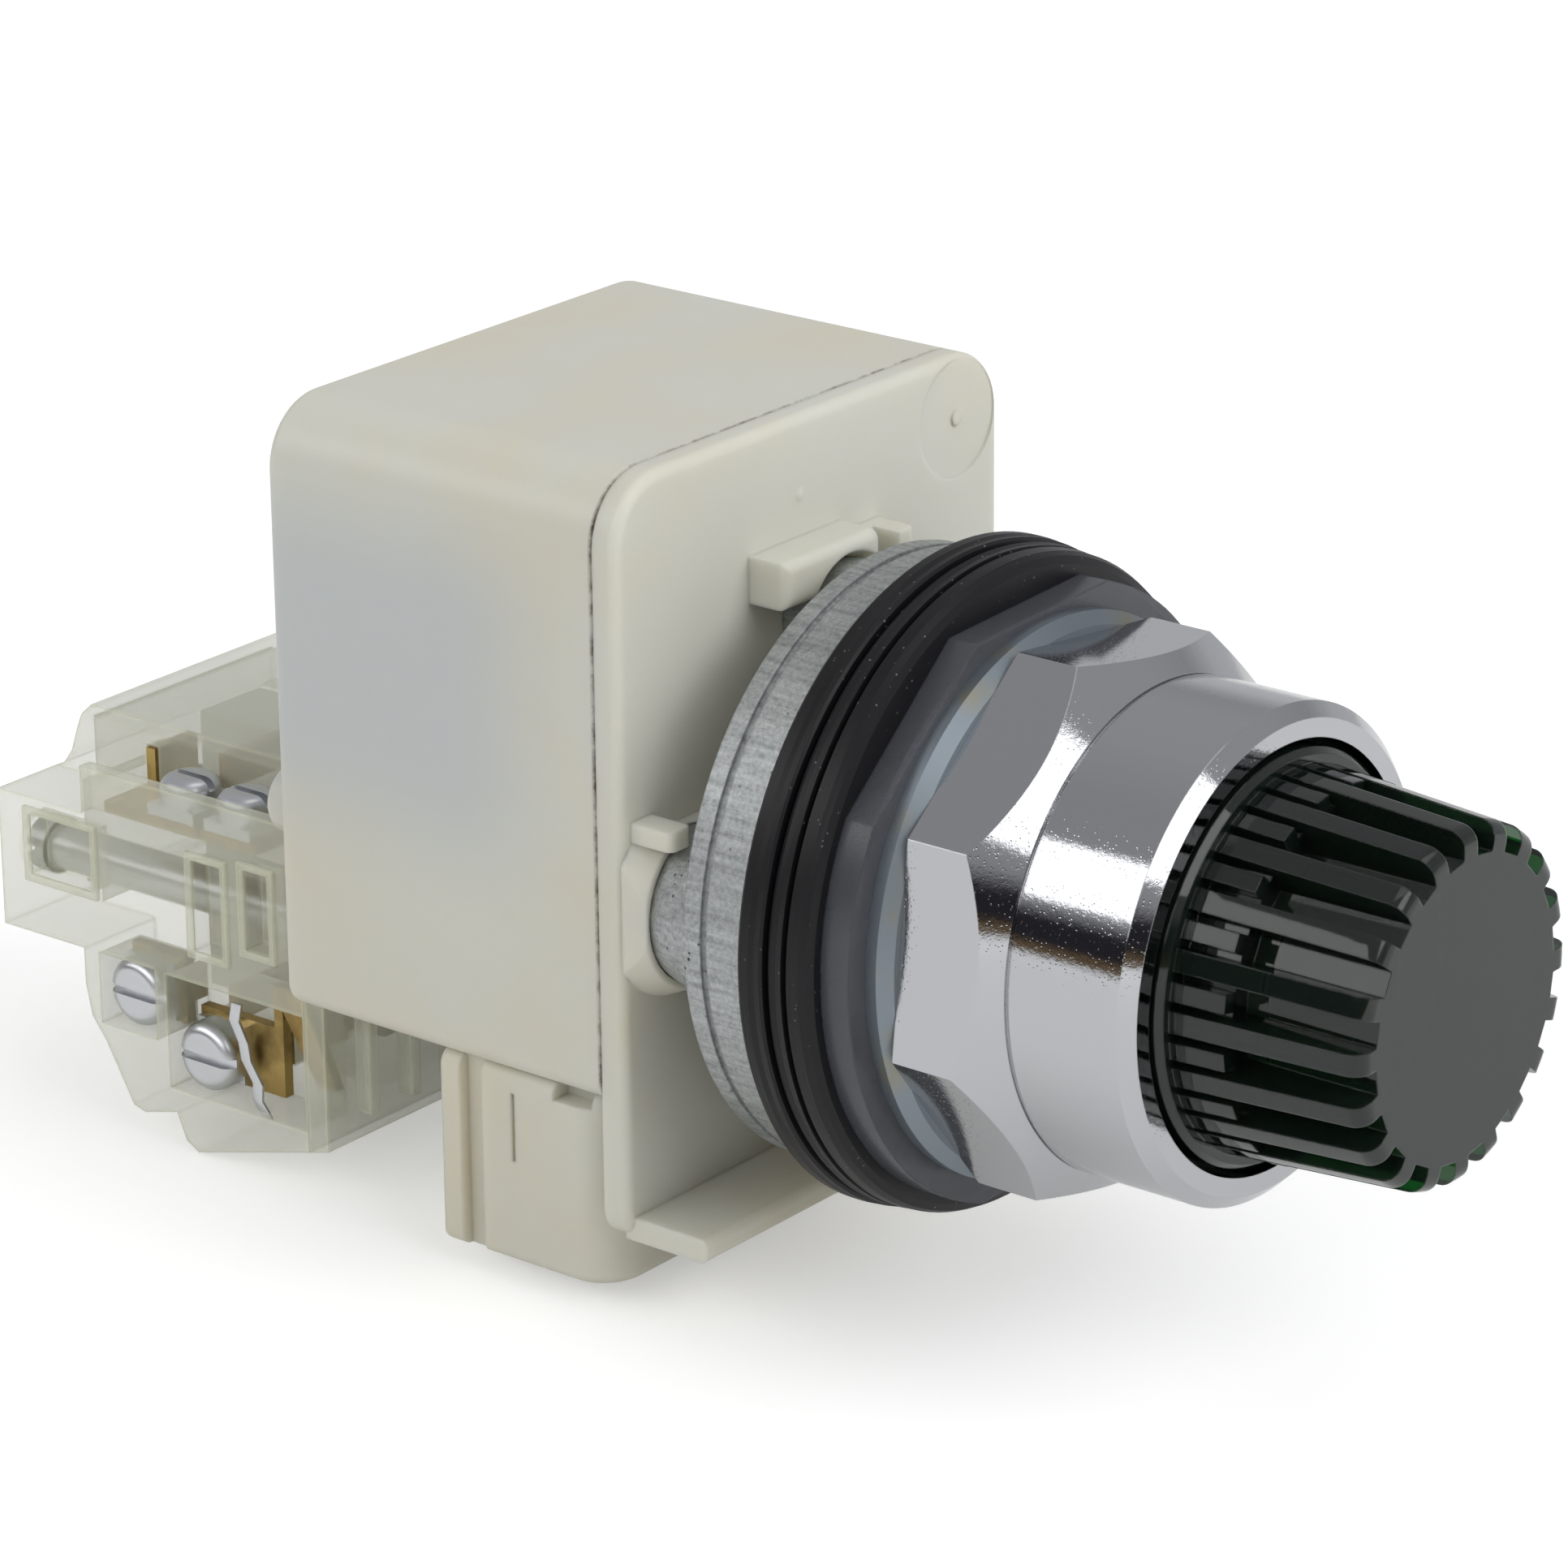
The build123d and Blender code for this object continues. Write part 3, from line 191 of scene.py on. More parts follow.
# Casting: the body of the operator is one zinc pressure die casting, left bare. Its skin is a fine
# mottled grey, with small dark pits and, across the rim, the marks of the press that trimmed it.
zinc_light = "#C6CACA"
zinc_dark = "#8C8F90"
zinc_pit = "#454647"
zinc_grains_per_mm = 3.2        # drawn coarser than the real grain, so that it shows
trim_marks_per_mm = 2.6
trim_mark_stretch = 0.05
trim_mark_share = 0.45
mottle_dark, mottle_light = 0.34, 0.66
zinc_pits_per_mm = 1.5          # drawn coarser too
pit_floor, pit_rim = 0.12, 0.20
pitted_patches_per_mm = 0.35
pitted_from, pitted_to = 0.54, 0.62
zinc_relief = 0.08 * mm
zinc_rounding = 0.20 * mm
zinc_rough, zinc_smooth = 0.58, 0.42


def finish_nodes(material, *names):
    """Gives CAD nodes their finish through their material slots."""
    for name in names:
        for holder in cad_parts[name].material_slots:
            holder.material = material


material, tree = new_material("die_cast_zinc")
point = add_node(tree, "TexCoord").outputs["Object"]
patches = add_node(tree, "TexNoise", {
    "Vector": point, "Scale": zinc_grains_per_mm / mm, "Detail": 5.0, "Roughness": 0.7})
stretched = add_node(tree, "Mapping", {"Vector": point, "Scale": (1.0, trim_mark_stretch, 1.0)})
trim = add_node(tree, "TexNoise", {
    "Vector": stretched.outputs["Vector"], "Scale": trim_marks_per_mm / mm, "Detail": 3.0,
    "Roughness": 0.55})
mottle = add_node(tree, "Mix", {0: trim_mark_share, 2: patches.outputs["Fac"], 3: trim.outputs["Fac"]})
tone = add_node(tree, "ValToRGB", {0: mottle.outputs[0]})
tone.color_ramp.elements[0].position = mottle_dark
tone.color_ramp.elements[0].color = linear(zinc_dark)
tone.color_ramp.elements[1].position = mottle_light
tone.color_ramp.elements[1].color = linear(zinc_light)
wandering = add_node(tree, "TexNoise", {
    "Vector": point, "Scale": pitted_patches_per_mm / mm, "Detail": 3.0, "Roughness": 0.55})
pits = add_node(tree, "TexVoronoi", {"Vector": point, "Scale": zinc_pits_per_mm / mm})
near_pit = add_node(tree, "MapRange", {
    0: pits.outputs["Distance"], 1: pit_floor, 2: pit_rim, 3: 1.0, 4: 0.0})
pitted = add_node(tree, "MapRange", {0: wandering.outputs["Fac"], 1: pitted_from, 2: pitted_to})
pit = add_node(tree, "Math", {0: near_pit.outputs[0], 1: pitted.outputs[0]}, operation="MULTIPLY")
colour = add_node(tree, "Mix", {
    0: pit.outputs[0], 6: tone.outputs[0], 7: linear(zinc_pit)}, data_type="RGBA")
relief = add_node(tree, "Math", {0: mottle.outputs[0], 1: pit.outputs[0]}, operation="SUBTRACT")
soft_edges = add_node(tree, "Bevel", {"Radius": zinc_rounding}, samples=4)
bump = add_node(tree, "Bump", {
    "Height": relief.outputs[0], "Strength": 0.8, "Distance": zinc_relief,
    "Normal": soft_edges.outputs["Normal"]})
dull = add_node(tree, "MapRange", {0: patches.outputs["Fac"], 3: zinc_rough, 4: zinc_smooth})
zinc = add_node(tree, "BsdfPrincipled", {
    "Base Color": colour.outputs[2], "Metallic": 0.85, "Roughness": dull.outputs[0],
    "Normal": bump.outputs[0]})
add_node(tree, "OutputMaterial", {"Surface": zinc.outputs[0]})
finish_nodes(material, "operator_base")

# Gasket: a moulded nitrile rubber ring with two soft ribs round its edge. The rubber is near black
# and satin, with fine flow lines round the edge, small pits and a little pale dust.
rubber_black = "#141316"
rubber_dust = "#7A7879"
specks_per_mm = 1.5
speck_middle, speck_rim = 0.06, 0.13
dusty_patches_per_mm = 0.16
dusty_from, dusty_to = 0.50, 0.62
flow_lines_per_mm = 5.2
flow_line_stretch = 0.04
rubber_relief = 0.06 * mm
rubber_roughness = 0.40
rubber_gloss = 0.3

material, tree = new_material("black_rubber")
point = add_node(tree, "TexCoord").outputs["Object"]
specks = add_node(tree, "TexVoronoi", {"Vector": point, "Scale": specks_per_mm / mm})
dusty = add_node(tree, "MapRange", {
    0: specks.outputs["Distance"], 1: speck_middle, 2: speck_rim, 3: 1.0, 4: 0.0})
clouds = add_node(tree, "TexNoise", {
    "Vector": point, "Scale": dusty_patches_per_mm / mm, "Detail": 3.0, "Roughness": 0.55})
where = add_node(tree, "MapRange", {0: clouds.outputs["Fac"], 1: dusty_from, 2: dusty_to})
dust = add_node(tree, "Math", {0: dusty.outputs[0], 1: where.outputs[0]}, operation="MULTIPLY")
tone = add_node(tree, "Mix", {
    0: dust.outputs[0], 6: linear(rubber_black), 7: linear(rubber_dust)}, data_type="RGBA")
lines = add_node(tree, "Mapping", {
    "Vector": point, "Scale": (flow_line_stretch, 1.0, flow_line_stretch)})
flow = add_node(tree, "TexNoise", {
    "Vector": lines.outputs["Vector"], "Scale": flow_lines_per_mm / mm, "Detail": 2.0,
    "Roughness": 0.55})
bump = add_node(tree, "Bump", {
    "Height": flow.outputs["Fac"], "Strength": 0.5, "Distance": rubber_relief})
rubber = add_node(tree, "BsdfPrincipled", {
    "Base Color": tone.outputs[2], "Roughness": rubber_roughness, "Specular IOR Level": rubber_gloss,
    "Normal": bump.outputs[0]})
add_node(tree, "OutputMaterial", {"Surface": rubber.outputs[0]})
finish_nodes(material, "gasket", "sleeve_seal")

# Clear washer: a thick washer of smoky clear plastic between the gasket and the metal washer, with
# flats on its edge. The black rubber behind it makes it look grey.
smoky_clear = "#DEE2EE"
haze_patches_per_mm = 0.7
washer_smooth, washer_rough = 0.16, 0.30
washer_transmission = 0.90
washer_ior = 1.42
washer_rounding = 0.25 * mm

material, tree = new_material("clear_plastic")
point = add_node(tree, "TexCoord").outputs["Object"]
haze = add_node(tree, "TexNoise", {
    "Vector": point, "Scale": haze_patches_per_mm / mm, "Detail": 2.0, "Roughness": 0.55})
frosted = add_node(tree, "MapRange", {0: haze.outputs["Fac"], 3: washer_smooth, 4: washer_rough})
soft_edges = add_node(tree, "Bevel", {"Radius": washer_rounding}, samples=4)
plastic = add_node(tree, "BsdfPrincipled", {
    "Base Color": linear(smoky_clear), "Transmission Weight": washer_transmission, "IOR": washer_ior,
    "Roughness": frosted.outputs[0], "Normal": soft_edges.outputs["Normal"]})
add_node(tree, "OutputMaterial", {"Surface": plastic.outputs[0]})
finish_nodes(material, "clear_washer")

# Metal washer: pressed steel with a rolled edge, zinc plated and blue passivated, with a faint
# yellow tint in places. The long screws and the return spring's retainer are plated in the same way.
plate_blue = "#8F989F"
plate_yellow = "#9A9684"
tinted_patches_per_mm = 0.3
tinted_from, tinted_to = 0.50, 0.75
plating_grains_per_mm = 2.6     # drawn coarser than the real grain, so that it shows
plating_relief = 0.04 * mm
plating_roughness = 0.50

material, tree = new_material("zinc_plated_steel")
point = add_node(tree, "TexCoord").outputs["Object"]
clouds = add_node(tree, "TexNoise", {
    "Vector": point, "Scale": tinted_patches_per_mm / mm, "Detail": 3.0, "Roughness": 0.55})
tint = add_node(tree, "MapRange", {0: clouds.outputs["Fac"], 1: tinted_from, 2: tinted_to})
tone = add_node(tree, "Mix", {
    0: tint.outputs[0], 6: linear(plate_blue), 7: linear(plate_yellow)}, data_type="RGBA")
grain = add_node(tree, "TexNoise", {
    "Vector": point, "Scale": plating_grains_per_mm / mm, "Detail": 3.0, "Roughness": 0.55})
bump = add_node(tree, "Bump", {
    "Height": grain.outputs["Fac"], "Strength": 0.2, "Distance": plating_relief})
plated = add_node(tree, "BsdfPrincipled", {
    "Base Color": tone.outputs[2], "Metallic": 1.0, "Roughness": plating_roughness,
    "Normal": bump.outputs[0]})
add_node(tree, "OutputMaterial", {"Surface": plated.outputs[0]})
finish_nodes(material, "trim_washer", "module_screws", "supply_screws", "spring_retainer")

# Block screws and terminals: the screws and the pressed clamps of the contact block are steel with
# brighter, fresh zinc plating, a little uneven in its gloss.
zinc_bright = "#D6D8DB"
gloss_patches_per_mm = 0.9
bright_smooth, bright_rough = 0.24, 0.42

bright_zinc, tree = new_material("bright_zinc")
point = add_node(tree, "TexCoord").outputs["Object"]
clouds = add_node(tree, "TexNoise", {
    "Vector": point, "Scale": gloss_patches_per_mm / mm, "Detail": 3.0, "Roughness": 0.55})
shine = add_node(tree, "MapRange", {0: clouds.outputs["Fac"], 3: bright_smooth, 4: bright_rough})
screws = add_node(tree, "BsdfPrincipled", {
    "Base Color": linear(zinc_bright), "Metallic": 1.0, "Roughness": shine.outputs[0]})
add_node(tree, "OutputMaterial", {"Surface": screws.outputs[0]})
finish_nodes(bright_zinc, "block_screws", "terminal_screws", "terminal_clamps")

# Ring nut: a zinc casting turned on its front and chromium plated bright. Chromium is a darker
# mirror than silver, and the plating shows the fine pits of the casting under it.
chromium = "#C0C1C4"
chrome_pits_per_mm = 3.6        # pits and ripple are drawn coarser than they are, so that they show
chrome_pit_rim = 0.25
ripples_per_mm = 2.4
chrome_relief = 0.02 * mm
chrome_rounding = 0.10 * mm
chrome_roughness = 0.07

material, tree = new_material("chrome")
point = add_node(tree, "TexCoord").outputs["Object"]
pits = add_node(tree, "TexVoronoi", {"Vector": point, "Scale": chrome_pits_per_mm / mm})
pitted = add_node(tree, "MapRange", {0: pits.outputs["Distance"], 1: 0.0, 2: chrome_pit_rim})
ripple = add_node(tree, "TexNoise", {
    "Vector": point, "Scale": ripples_per_mm / mm, "Detail": 4.0, "Roughness": 0.65})
relief = add_node(tree, "Math", {0: pitted.outputs[0], 1: ripple.outputs["Fac"]}, operation="ADD")
soft_edges = add_node(tree, "Bevel", {"Radius": chrome_rounding}, samples=4)
bump = add_node(tree, "Bump", {
    "Height": relief.outputs[0], "Strength": 0.32, "Distance": chrome_relief,
    "Normal": soft_edges.outputs["Normal"]})
mirror = add_node(tree, "BsdfPrincipled", {
    "Base Color": linear(chromium), "Metallic": 1.0, "Roughness": chrome_roughness,
    "Normal": bump.outputs[0]})
add_node(tree, "OutputMaterial", {"Surface": mirror.outputs[0]})
finish_nodes(material, "ring_nut")

# White nylon pieces: the sleeve under the lens, the lamp's insulator, the contact carrier and the
# bobbin are moulded in white nylon, slightly see-through and satin.
nylon_white = "#DCDBD2"
nylon_grains_per_mm = 2.2
nylon_relief = 0.03 * mm
nylon_roughness = 0.42
nylon_see_through = 0.3
nylon_light_depth = 0.8 * mm

material, tree = new_material("white_nylon")
point = add_node(tree, "TexCoord").outputs["Object"]
grain = add_node(tree, "TexNoise", {
    "Vector": point, "Scale": nylon_grains_per_mm / mm, "Detail": 2.0, "Roughness": 0.55})
bump = add_node(tree, "Bump", {
    "Height": grain.outputs["Fac"], "Strength": 0.15, "Distance": nylon_relief})
nylon = add_node(tree, "BsdfPrincipled", {
    "Base Color": linear(nylon_white), "Roughness": nylon_roughness,
    "Subsurface Weight": nylon_see_through, "Subsurface Radius": (1.0, 0.9, 0.7),
    "Subsurface Scale": nylon_light_depth, "Normal": bump.outputs[0]})
add_node(tree, "OutputMaterial", {"Surface": nylon.outputs[0]})
finish_nodes(material, "lens_holder", "socket_insulator", "contact_carrier", "bobbin")

# Springs and push rod: patented spring steel wire, drawn and oiled, so dark and glossy and a little
# uneven. The rod between the button and the contact block is drawn steel too.
wire_grey = "#8C8D90"
drawing_marks_per_mm = 3.0
wire_smooth, wire_rough = 0.22, 0.38

material, tree = new_material("spring_steel")
point = add_node(tree, "TexCoord").outputs["Object"]
drawn = add_node(tree, "TexNoise", {
    "Vector": point, "Scale": drawing_marks_per_mm / mm, "Detail": 2.0, "Roughness": 0.55})
shine = add_node(tree, "MapRange", {0: drawn.outputs["Fac"], 3: wire_smooth, 4: wire_rough})
wire = add_node(tree, "BsdfPrincipled", {
    "Base Color": linear(wire_grey), "Metallic": 1.0, "Roughness": shine.outputs[0]})
add_node(tree, "OutputMaterial", {"Surface": wire.outputs[0]})
finish_nodes(material, "return_spring", "carrier_spring", "contact_springs", "push_rod")

# Lamp: a miniature filament lamp in a bayonet cap. The bulb is blown soda-lime glass with faint
# waves, and the cap is nickel plated brass that handling has rubbed.
glass_tint = "#F2F6F4"
glass_waves_per_mm = 0.24
glass_relief = 0.05 * mm
glass_ior = 1.52
glass_roughness = 0.02
nickel = "#B9B4A6"
rubbed_patches_per_mm = 0.9
nickel_smooth, nickel_rough = 0.18, 0.36

material, tree = new_material("lamp_glass")
point = add_node(tree, "TexCoord").outputs["Object"]
waves = add_node(tree, "TexNoise", {
    "Vector": point, "Scale": glass_waves_per_mm / mm, "Detail": 2.0, "Roughness": 0.55})
bump = add_node(tree, "Bump", {
    "Height": waves.outputs["Fac"], "Strength": 0.1, "Distance": glass_relief})
glass = add_node(tree, "BsdfPrincipled", {
    "Base Color": linear(glass_tint), "Transmission Weight": 1.0, "IOR": glass_ior,
    "Roughness": glass_roughness, "Normal": bump.outputs[0]})
add_node(tree, "OutputMaterial", {"Surface": glass.outputs[0]})
finish_nodes(material, "lamp_bulb")

material, tree = new_material("nickel_plated_brass")
point = add_node(tree, "TexCoord").outputs["Object"]
rubbed = add_node(tree, "TexNoise", {
    "Vector": point, "Scale": rubbed_patches_per_mm / mm, "Detail": 3.0, "Roughness": 0.55})
shine = add_node(tree, "MapRange", {0: rubbed.outputs["Fac"], 3: nickel_smooth, 4: nickel_rough})
cap = add_node(tree, "BsdfPrincipled", {
    "Base Color": linear(nickel), "Metallic": 1.0, "Roughness": shine.outputs[0]})
add_node(tree, "OutputMaterial", {"Surface": cap.outputs[0]})
finish_nodes(material, "lamp_cap")

# Brass pieces: the lamp socket, its contact, the supply terminals and the contact blades are
# punched and bent from sheet brass. The sheet is warm yellow with browned patches.
brass_bright = "#B79C62"
brass_brown = "#8C7448"
browned_patches_per_mm = 0.5
browned_from, browned_to = 0.45, 0.75
brass_roughness = 0.3

material, tree = new_material("brass")
point = add_node(tree, "TexCoord").outputs["Object"]
clouds = add_node(tree, "TexNoise", {
    "Vector": point, "Scale": browned_patches_per_mm / mm, "Detail": 4.0, "Roughness": 0.55})
aged = add_node(tree, "MapRange", {0: clouds.outputs["Fac"], 1: browned_from, 2: browned_to})
tone = add_node(tree, "Mix", {
    0: aged.outputs[0], 6: linear(brass_bright), 7: linear(brass_brown)}, data_type="RGBA")
brass = add_node(tree, "BsdfPrincipled", {
    "Base Color": tone.outputs[2], "Metallic": 1.0, "Roughness": brass_roughness})
add_node(tree, "OutputMaterial", {"Surface": brass.outputs[0]})
finish_nodes(material, "lamp_socket", "socket_contact", "supply_terminals", "nc_contacts",
             "no_contacts", "nc_bridges", "no_bridges")

# Lens cap: moulded in deep green polycarbonate. It looks black where the wall is thick and glows
# green where light passes the thin ends of the pockets.
lens_green = "#27CE7C"
lens_density = 3000
lens_haze = "#6F8F7E"
lens_transmission = 0.96
lens_ior = 1.56
lens_roughness = 0.04
lens_rounding = 0.15 * mm

material, tree = new_material("green_lens")
depths = add_node(tree, "VolumeAbsorption", {"Color": linear(lens_green), "Density": lens_density})
soft_edges = add_node(tree, "Bevel", {"Radius": lens_rounding}, samples=4)
lens = add_node(tree, "BsdfPrincipled", {
    "Base Color": linear(lens_haze), "Transmission Weight": lens_transmission, "IOR": lens_ior,
    "Roughness": lens_roughness, "Normal": soft_edges.outputs["Normal"]})
add_node(tree, "OutputMaterial", {"Surface": lens.outputs[0], "Volume": depths.outputs[0]})
finish_nodes(material, "lens_cap")

# Light module: front plate, transformer cover and terminal box are moulded in natural nylon, an
# ivory plastic that lets some light through. The cover's upper sides are painted blue grey, a painted
# shade for the transformer core behind the wall, and brown dust has settled in the joint between
# plate and cover.
ivory = "#D8D8CD"
ivory_warm = "#DAD4C0"
ivory_core_shade = "#C8CCCB"
warm_patches_per_mm = 0.06
warm_from, warm_to = 0.42, 0.72
core_shade_bottom = (-4.0 * mm, 8.0 * mm)     # each pair is where the painted core shade begins and is full
core_shade_top = (27.0 * mm, 17.0 * mm)
core_shade_front = (13.0 * mm, 26.0 * mm)
joint_dust = "#5E4F3A"
joint_depth = 13.0 * mm
joint_width = 0.22 * mm
joint_heart = 0.3 * joint_width
joint_end = (-13.0 * mm, -12.5 * mm)    # there is no joint in front of the terminal box
crumbs_per_mm = 0.7
crumbs_from, crumbs_to, crumbs_least = 0.42, 0.68, 0.12
ivory_grains_per_mm = 0.9
ivory_relief = 0.05 * mm
ivory_rounding = 0.35 * mm
ivory_roughness = 0.40
ivory_see_through = 0.6
ivory_light_depth = 1.6 * mm

material, tree = new_material("ivory_nylon")
point = add_node(tree, "TexCoord").outputs["Object"]
parts = add_node(tree, "SeparateXYZ", {0: point})
clouds = add_node(tree, "TexNoise", {
    "Vector": point, "Scale": warm_patches_per_mm / mm, "Detail": 3.0, "Roughness": 0.55})
warmth = add_node(tree, "MapRange", {0: clouds.outputs["Fac"], 1: warm_from, 2: warm_to})
tone = add_node(tree, "Mix", {
    0: warmth.outputs[0], 6: linear(ivory), 7: linear(ivory_warm)}, data_type="RGBA")
# Painted shade: a blue grey mixed in by height and depth where the transformer core sits behind the cover
# wall.
low = add_node(tree, "MapRange", {
    0: parts.outputs["Z"], 1: core_shade_bottom[0], 2: core_shade_bottom[1]}, interpolation_type="SMOOTHSTEP")
high = add_node(tree, "MapRange", {
    0: parts.outputs["Z"], 1: core_shade_top[0], 2: core_shade_top[1]}, interpolation_type="SMOOTHSTEP")
front = add_node(tree, "MapRange", {
    0: parts.outputs["Y"], 1: core_shade_front[0], 2: core_shade_front[1]}, interpolation_type="SMOOTHSTEP")
shade = add_node(tree, "Math", {0: low.outputs[0], 1: high.outputs[0]}, operation="MULTIPLY")
shade = add_node(tree, "Math", {0: shade.outputs[0], 1: front.outputs[0]}, operation="MULTIPLY")
tone = add_node(tree, "Mix", {
    0: shade.outputs[0], 6: tone.outputs[2], 7: linear(ivory_core_shade)}, data_type="RGBA")
from_joint = add_node(tree, "Math", {0: parts.outputs["Y"], 1: joint_depth}, operation="SUBTRACT")
from_joint = add_node(tree, "Math", {0: from_joint.outputs[0]}, operation="ABSOLUTE")
at_joint = add_node(tree, "MapRange", {0: from_joint.outputs[0], 1: joint_width, 2: joint_heart})
crumbs = add_node(tree, "TexNoise", {
    "Vector": point, "Scale": crumbs_per_mm / mm, "Detail": 4.0, "Roughness": 0.7})
crumbs = add_node(tree, "MapRange", {
    0: crumbs.outputs["Fac"], 1: crumbs_from, 2: crumbs_to, 3: crumbs_least})
above_box = add_node(tree, "MapRange", {0: parts.outputs["Z"], 1: joint_end[0], 2: joint_end[1]})
dusty = add_node(tree, "Math", {0: at_joint.outputs[0], 1: crumbs.outputs[0]}, operation="MULTIPLY")
dusty = add_node(tree, "Math", {0: dusty.outputs[0], 1: above_box.outputs[0]}, operation="MULTIPLY")
tone = add_node(tree, "Mix", {
    0: dusty.outputs[0], 6: tone.outputs[2], 7: linear(joint_dust)}, data_type="RGBA")
skin = add_node(tree, "TexNoise", {
    "Vector": point, "Scale": ivory_grains_per_mm / mm, "Detail": 2.0, "Roughness": 0.55})
soft_edges = add_node(tree, "Bevel", {"Radius": ivory_rounding}, samples=4)
bump = add_node(tree, "Bump", {
    "Height": skin.outputs["Fac"], "Strength": 0.12, "Distance": ivory_relief,
    "Normal": soft_edges.outputs["Normal"]})
ivory_plastic = add_node(tree, "BsdfPrincipled", {
    "Base Color": tone.outputs[2], "Roughness": ivory_roughness,
    "Subsurface Weight": ivory_see_through, "Subsurface Radius": (1.0, 0.95, 0.75),
    "Subsurface Scale": ivory_light_depth, "Normal": bump.outputs[0]})
add_node(tree, "OutputMaterial", {"Surface": ivory_plastic.outputs[0]})
finish_nodes(material, "module_plate", "transformer_cover", "terminal_box")

# Transformer: a stack of punched iron sheets half a millimetre thick, with varnished edges, and two
# windings of enamelled copper wire, wound in layers.
iron_grey = "#5A5C60"
iron_edge = "#34353A"
sheet_thickness = 0.5 * mm
enamel = "#A9542A"
wire_pitch = 0.3 * mm
# A wave texture turns through 20 radians in one unit of its scale, so these bands are 2 pi times as
# wide as the real sheets and wires, coarse enough to show.
wave_angle = 20
iron_roughness = 0.5
copper_relief = 0.1 * mm
copper_roughness = 0.28
enamel_coat = 0.5

material, tree = new_material("core_iron")
point = add_node(tree, "TexCoord").outputs["Object"]
sheets = add_node(tree, "TexWave", {
    "Vector": point, "Scale": 1 / (sheet_thickness * wave_angle), "Distortion": 0.2},
    bands_direction="Y")
tone = add_node(tree, "Mix", {
    0: sheets.outputs["Fac"], 6: linear(iron_edge), 7: linear(iron_grey)}, data_type="RGBA")
iron = add_node(tree, "BsdfPrincipled", {
    "Base Color": tone.outputs[2], "Metallic": 0.8, "Roughness": iron_roughness})
add_node(tree, "OutputMaterial", {"Surface": iron.outputs[0]})
finish_nodes(material, "core")

material, tree = new_material("copper")
point = add_node(tree, "TexCoord").outputs["Object"]
turns = add_node(tree, "TexWave", {
    "Vector": point, "Scale": 1 / (wire_pitch * wave_angle)}, bands_direction="Z")
bump = add_node(tree, "Bump", {
    "Height": turns.outputs["Fac"], "Strength": 0.6, "Distance": copper_relief})
copper = add_node(tree, "BsdfPrincipled", {
    "Base Color": linear(enamel), "Metallic": 0.9, "Roughness": copper_roughness,
    "Coat Weight": enamel_coat, "Normal": bump.outputs[0]})
add_node(tree, "OutputMaterial", {"Surface": copper.outputs[0]})
finish_nodes(material, "primary_winding", "secondary_winding")

# Contact block: its two halves are moulded in clear polycarbonate, milky with age and faintly
# yellow green, so brass, springs and screws show softly through the walls. A wall seen along its
# surface is more opaque than one seen square on. The moulded edges are painted paler and more
# opaque, a painted highlight where the clear edges catch the light.
milky_clear = "#E7E8D6"
pale_edge_highlight = "#EEF0D2"
flow_patches_per_mm = 0.26
block_relief = 0.15 * mm
block_rounding = 0.25 * mm
veil_square_on, veil_along = 0.24, 0.66
edge_reach = 0.55 * mm
edge_from, edge_to = 0.995, 0.90
edge_veil_most = 0.6
block_roughness = 0.12
block_walls_in_line = 32

block_plastic, tree = new_material("clear_polycarbonate")
point = add_node(tree, "TexCoord").outputs["Object"]
flow = add_node(tree, "TexNoise", {
    "Vector": point, "Scale": flow_patches_per_mm / mm, "Detail": 2.0, "Roughness": 0.55})
soft_edges = add_node(tree, "Bevel", {"Radius": block_rounding}, samples=4)
bump = add_node(tree, "Bump", {
    "Height": flow.outputs["Fac"], "Strength": 0.25, "Distance": block_relief,
    "Normal": soft_edges.outputs["Normal"]})
slant = add_node(tree, "LayerWeight", {"Blend": 0.3, "Normal": bump.outputs[0]})
wall = add_node(tree, "MapRange", {0: slant.outputs["Facing"], 3: veil_square_on, 4: veil_along})
surface = add_node(tree, "NewGeometry")
wide_edges = add_node(tree, "Bevel", {"Radius": edge_reach}, samples=4)
bent = add_node(tree, "VectorMath", {
    0: wide_edges.outputs["Normal"], 1: surface.outputs["Normal"]}, operation="DOT_PRODUCT")
# Painted highlight: the mask of the moulded edges makes them paler and more opaque.
edge = add_node(tree, "MapRange", {0: bent.outputs["Value"], 1: edge_from, 2: edge_to})
edge_veil = add_node(tree, "Math", {0: edge.outputs[0], 1: edge_veil_most}, operation="MULTIPLY")
veil = add_node(tree, "Math", {0: wall.outputs[0], 1: edge_veil.outputs[0]}, operation="MAXIMUM")
tone = add_node(tree, "Mix", {
    0: edge.outputs[0], 6: linear(milky_clear), 7: linear(pale_edge_highlight)}, data_type="RGBA")
block = add_node(tree, "BsdfPrincipled", {
    "Base Color": tone.outputs[2], "Roughness": block_roughness, "Alpha": veil.outputs[0],
    "Normal": bump.outputs[0]})
add_node(tree, "OutputMaterial", {"Surface": block.outputs[0]})
finish_nodes(block_plastic, "block_housing", "block_front")
scene.cycles.transparent_max_bounces = block_walls_in_line

# Window frames: each side of the block has three moulded windows with a raised frame round them, of
# the same clear plastic. The thick frames catch the light and look paler than the walls.
block_side = 16.0 * mm
frame_border = 0.55 * mm
frame_rise = 0.30 * mm
frame_seat = 0.10 * mm
frame_round = 0.12 * mm
window_spans = (((44.8, 47.0), (-12.0, -6.2)), ((49.1, 51.8), (-13.2, -6.6)), ((61.2, 67.0), (-11.2, -6.8)))
round_steps = 2
smooth_below = radians(40)


def select_side_faces():
    """Edit mode, with only the faces selected that look to the left or the right."""
    bpy.ops.object.mode_set(mode="EDIT")
    bpy.ops.mesh.select_mode(type="FACE")
    bpy.ops.mesh.select_all(action="DESELECT")
    mesh = bmesh.from_edit_mesh(bpy.context.object.data)
    for face in mesh.faces:
        face.select_set(abs(face.normal.x) > 0.9)
    bmesh.update_edit_mesh(bpy.context.object.data)


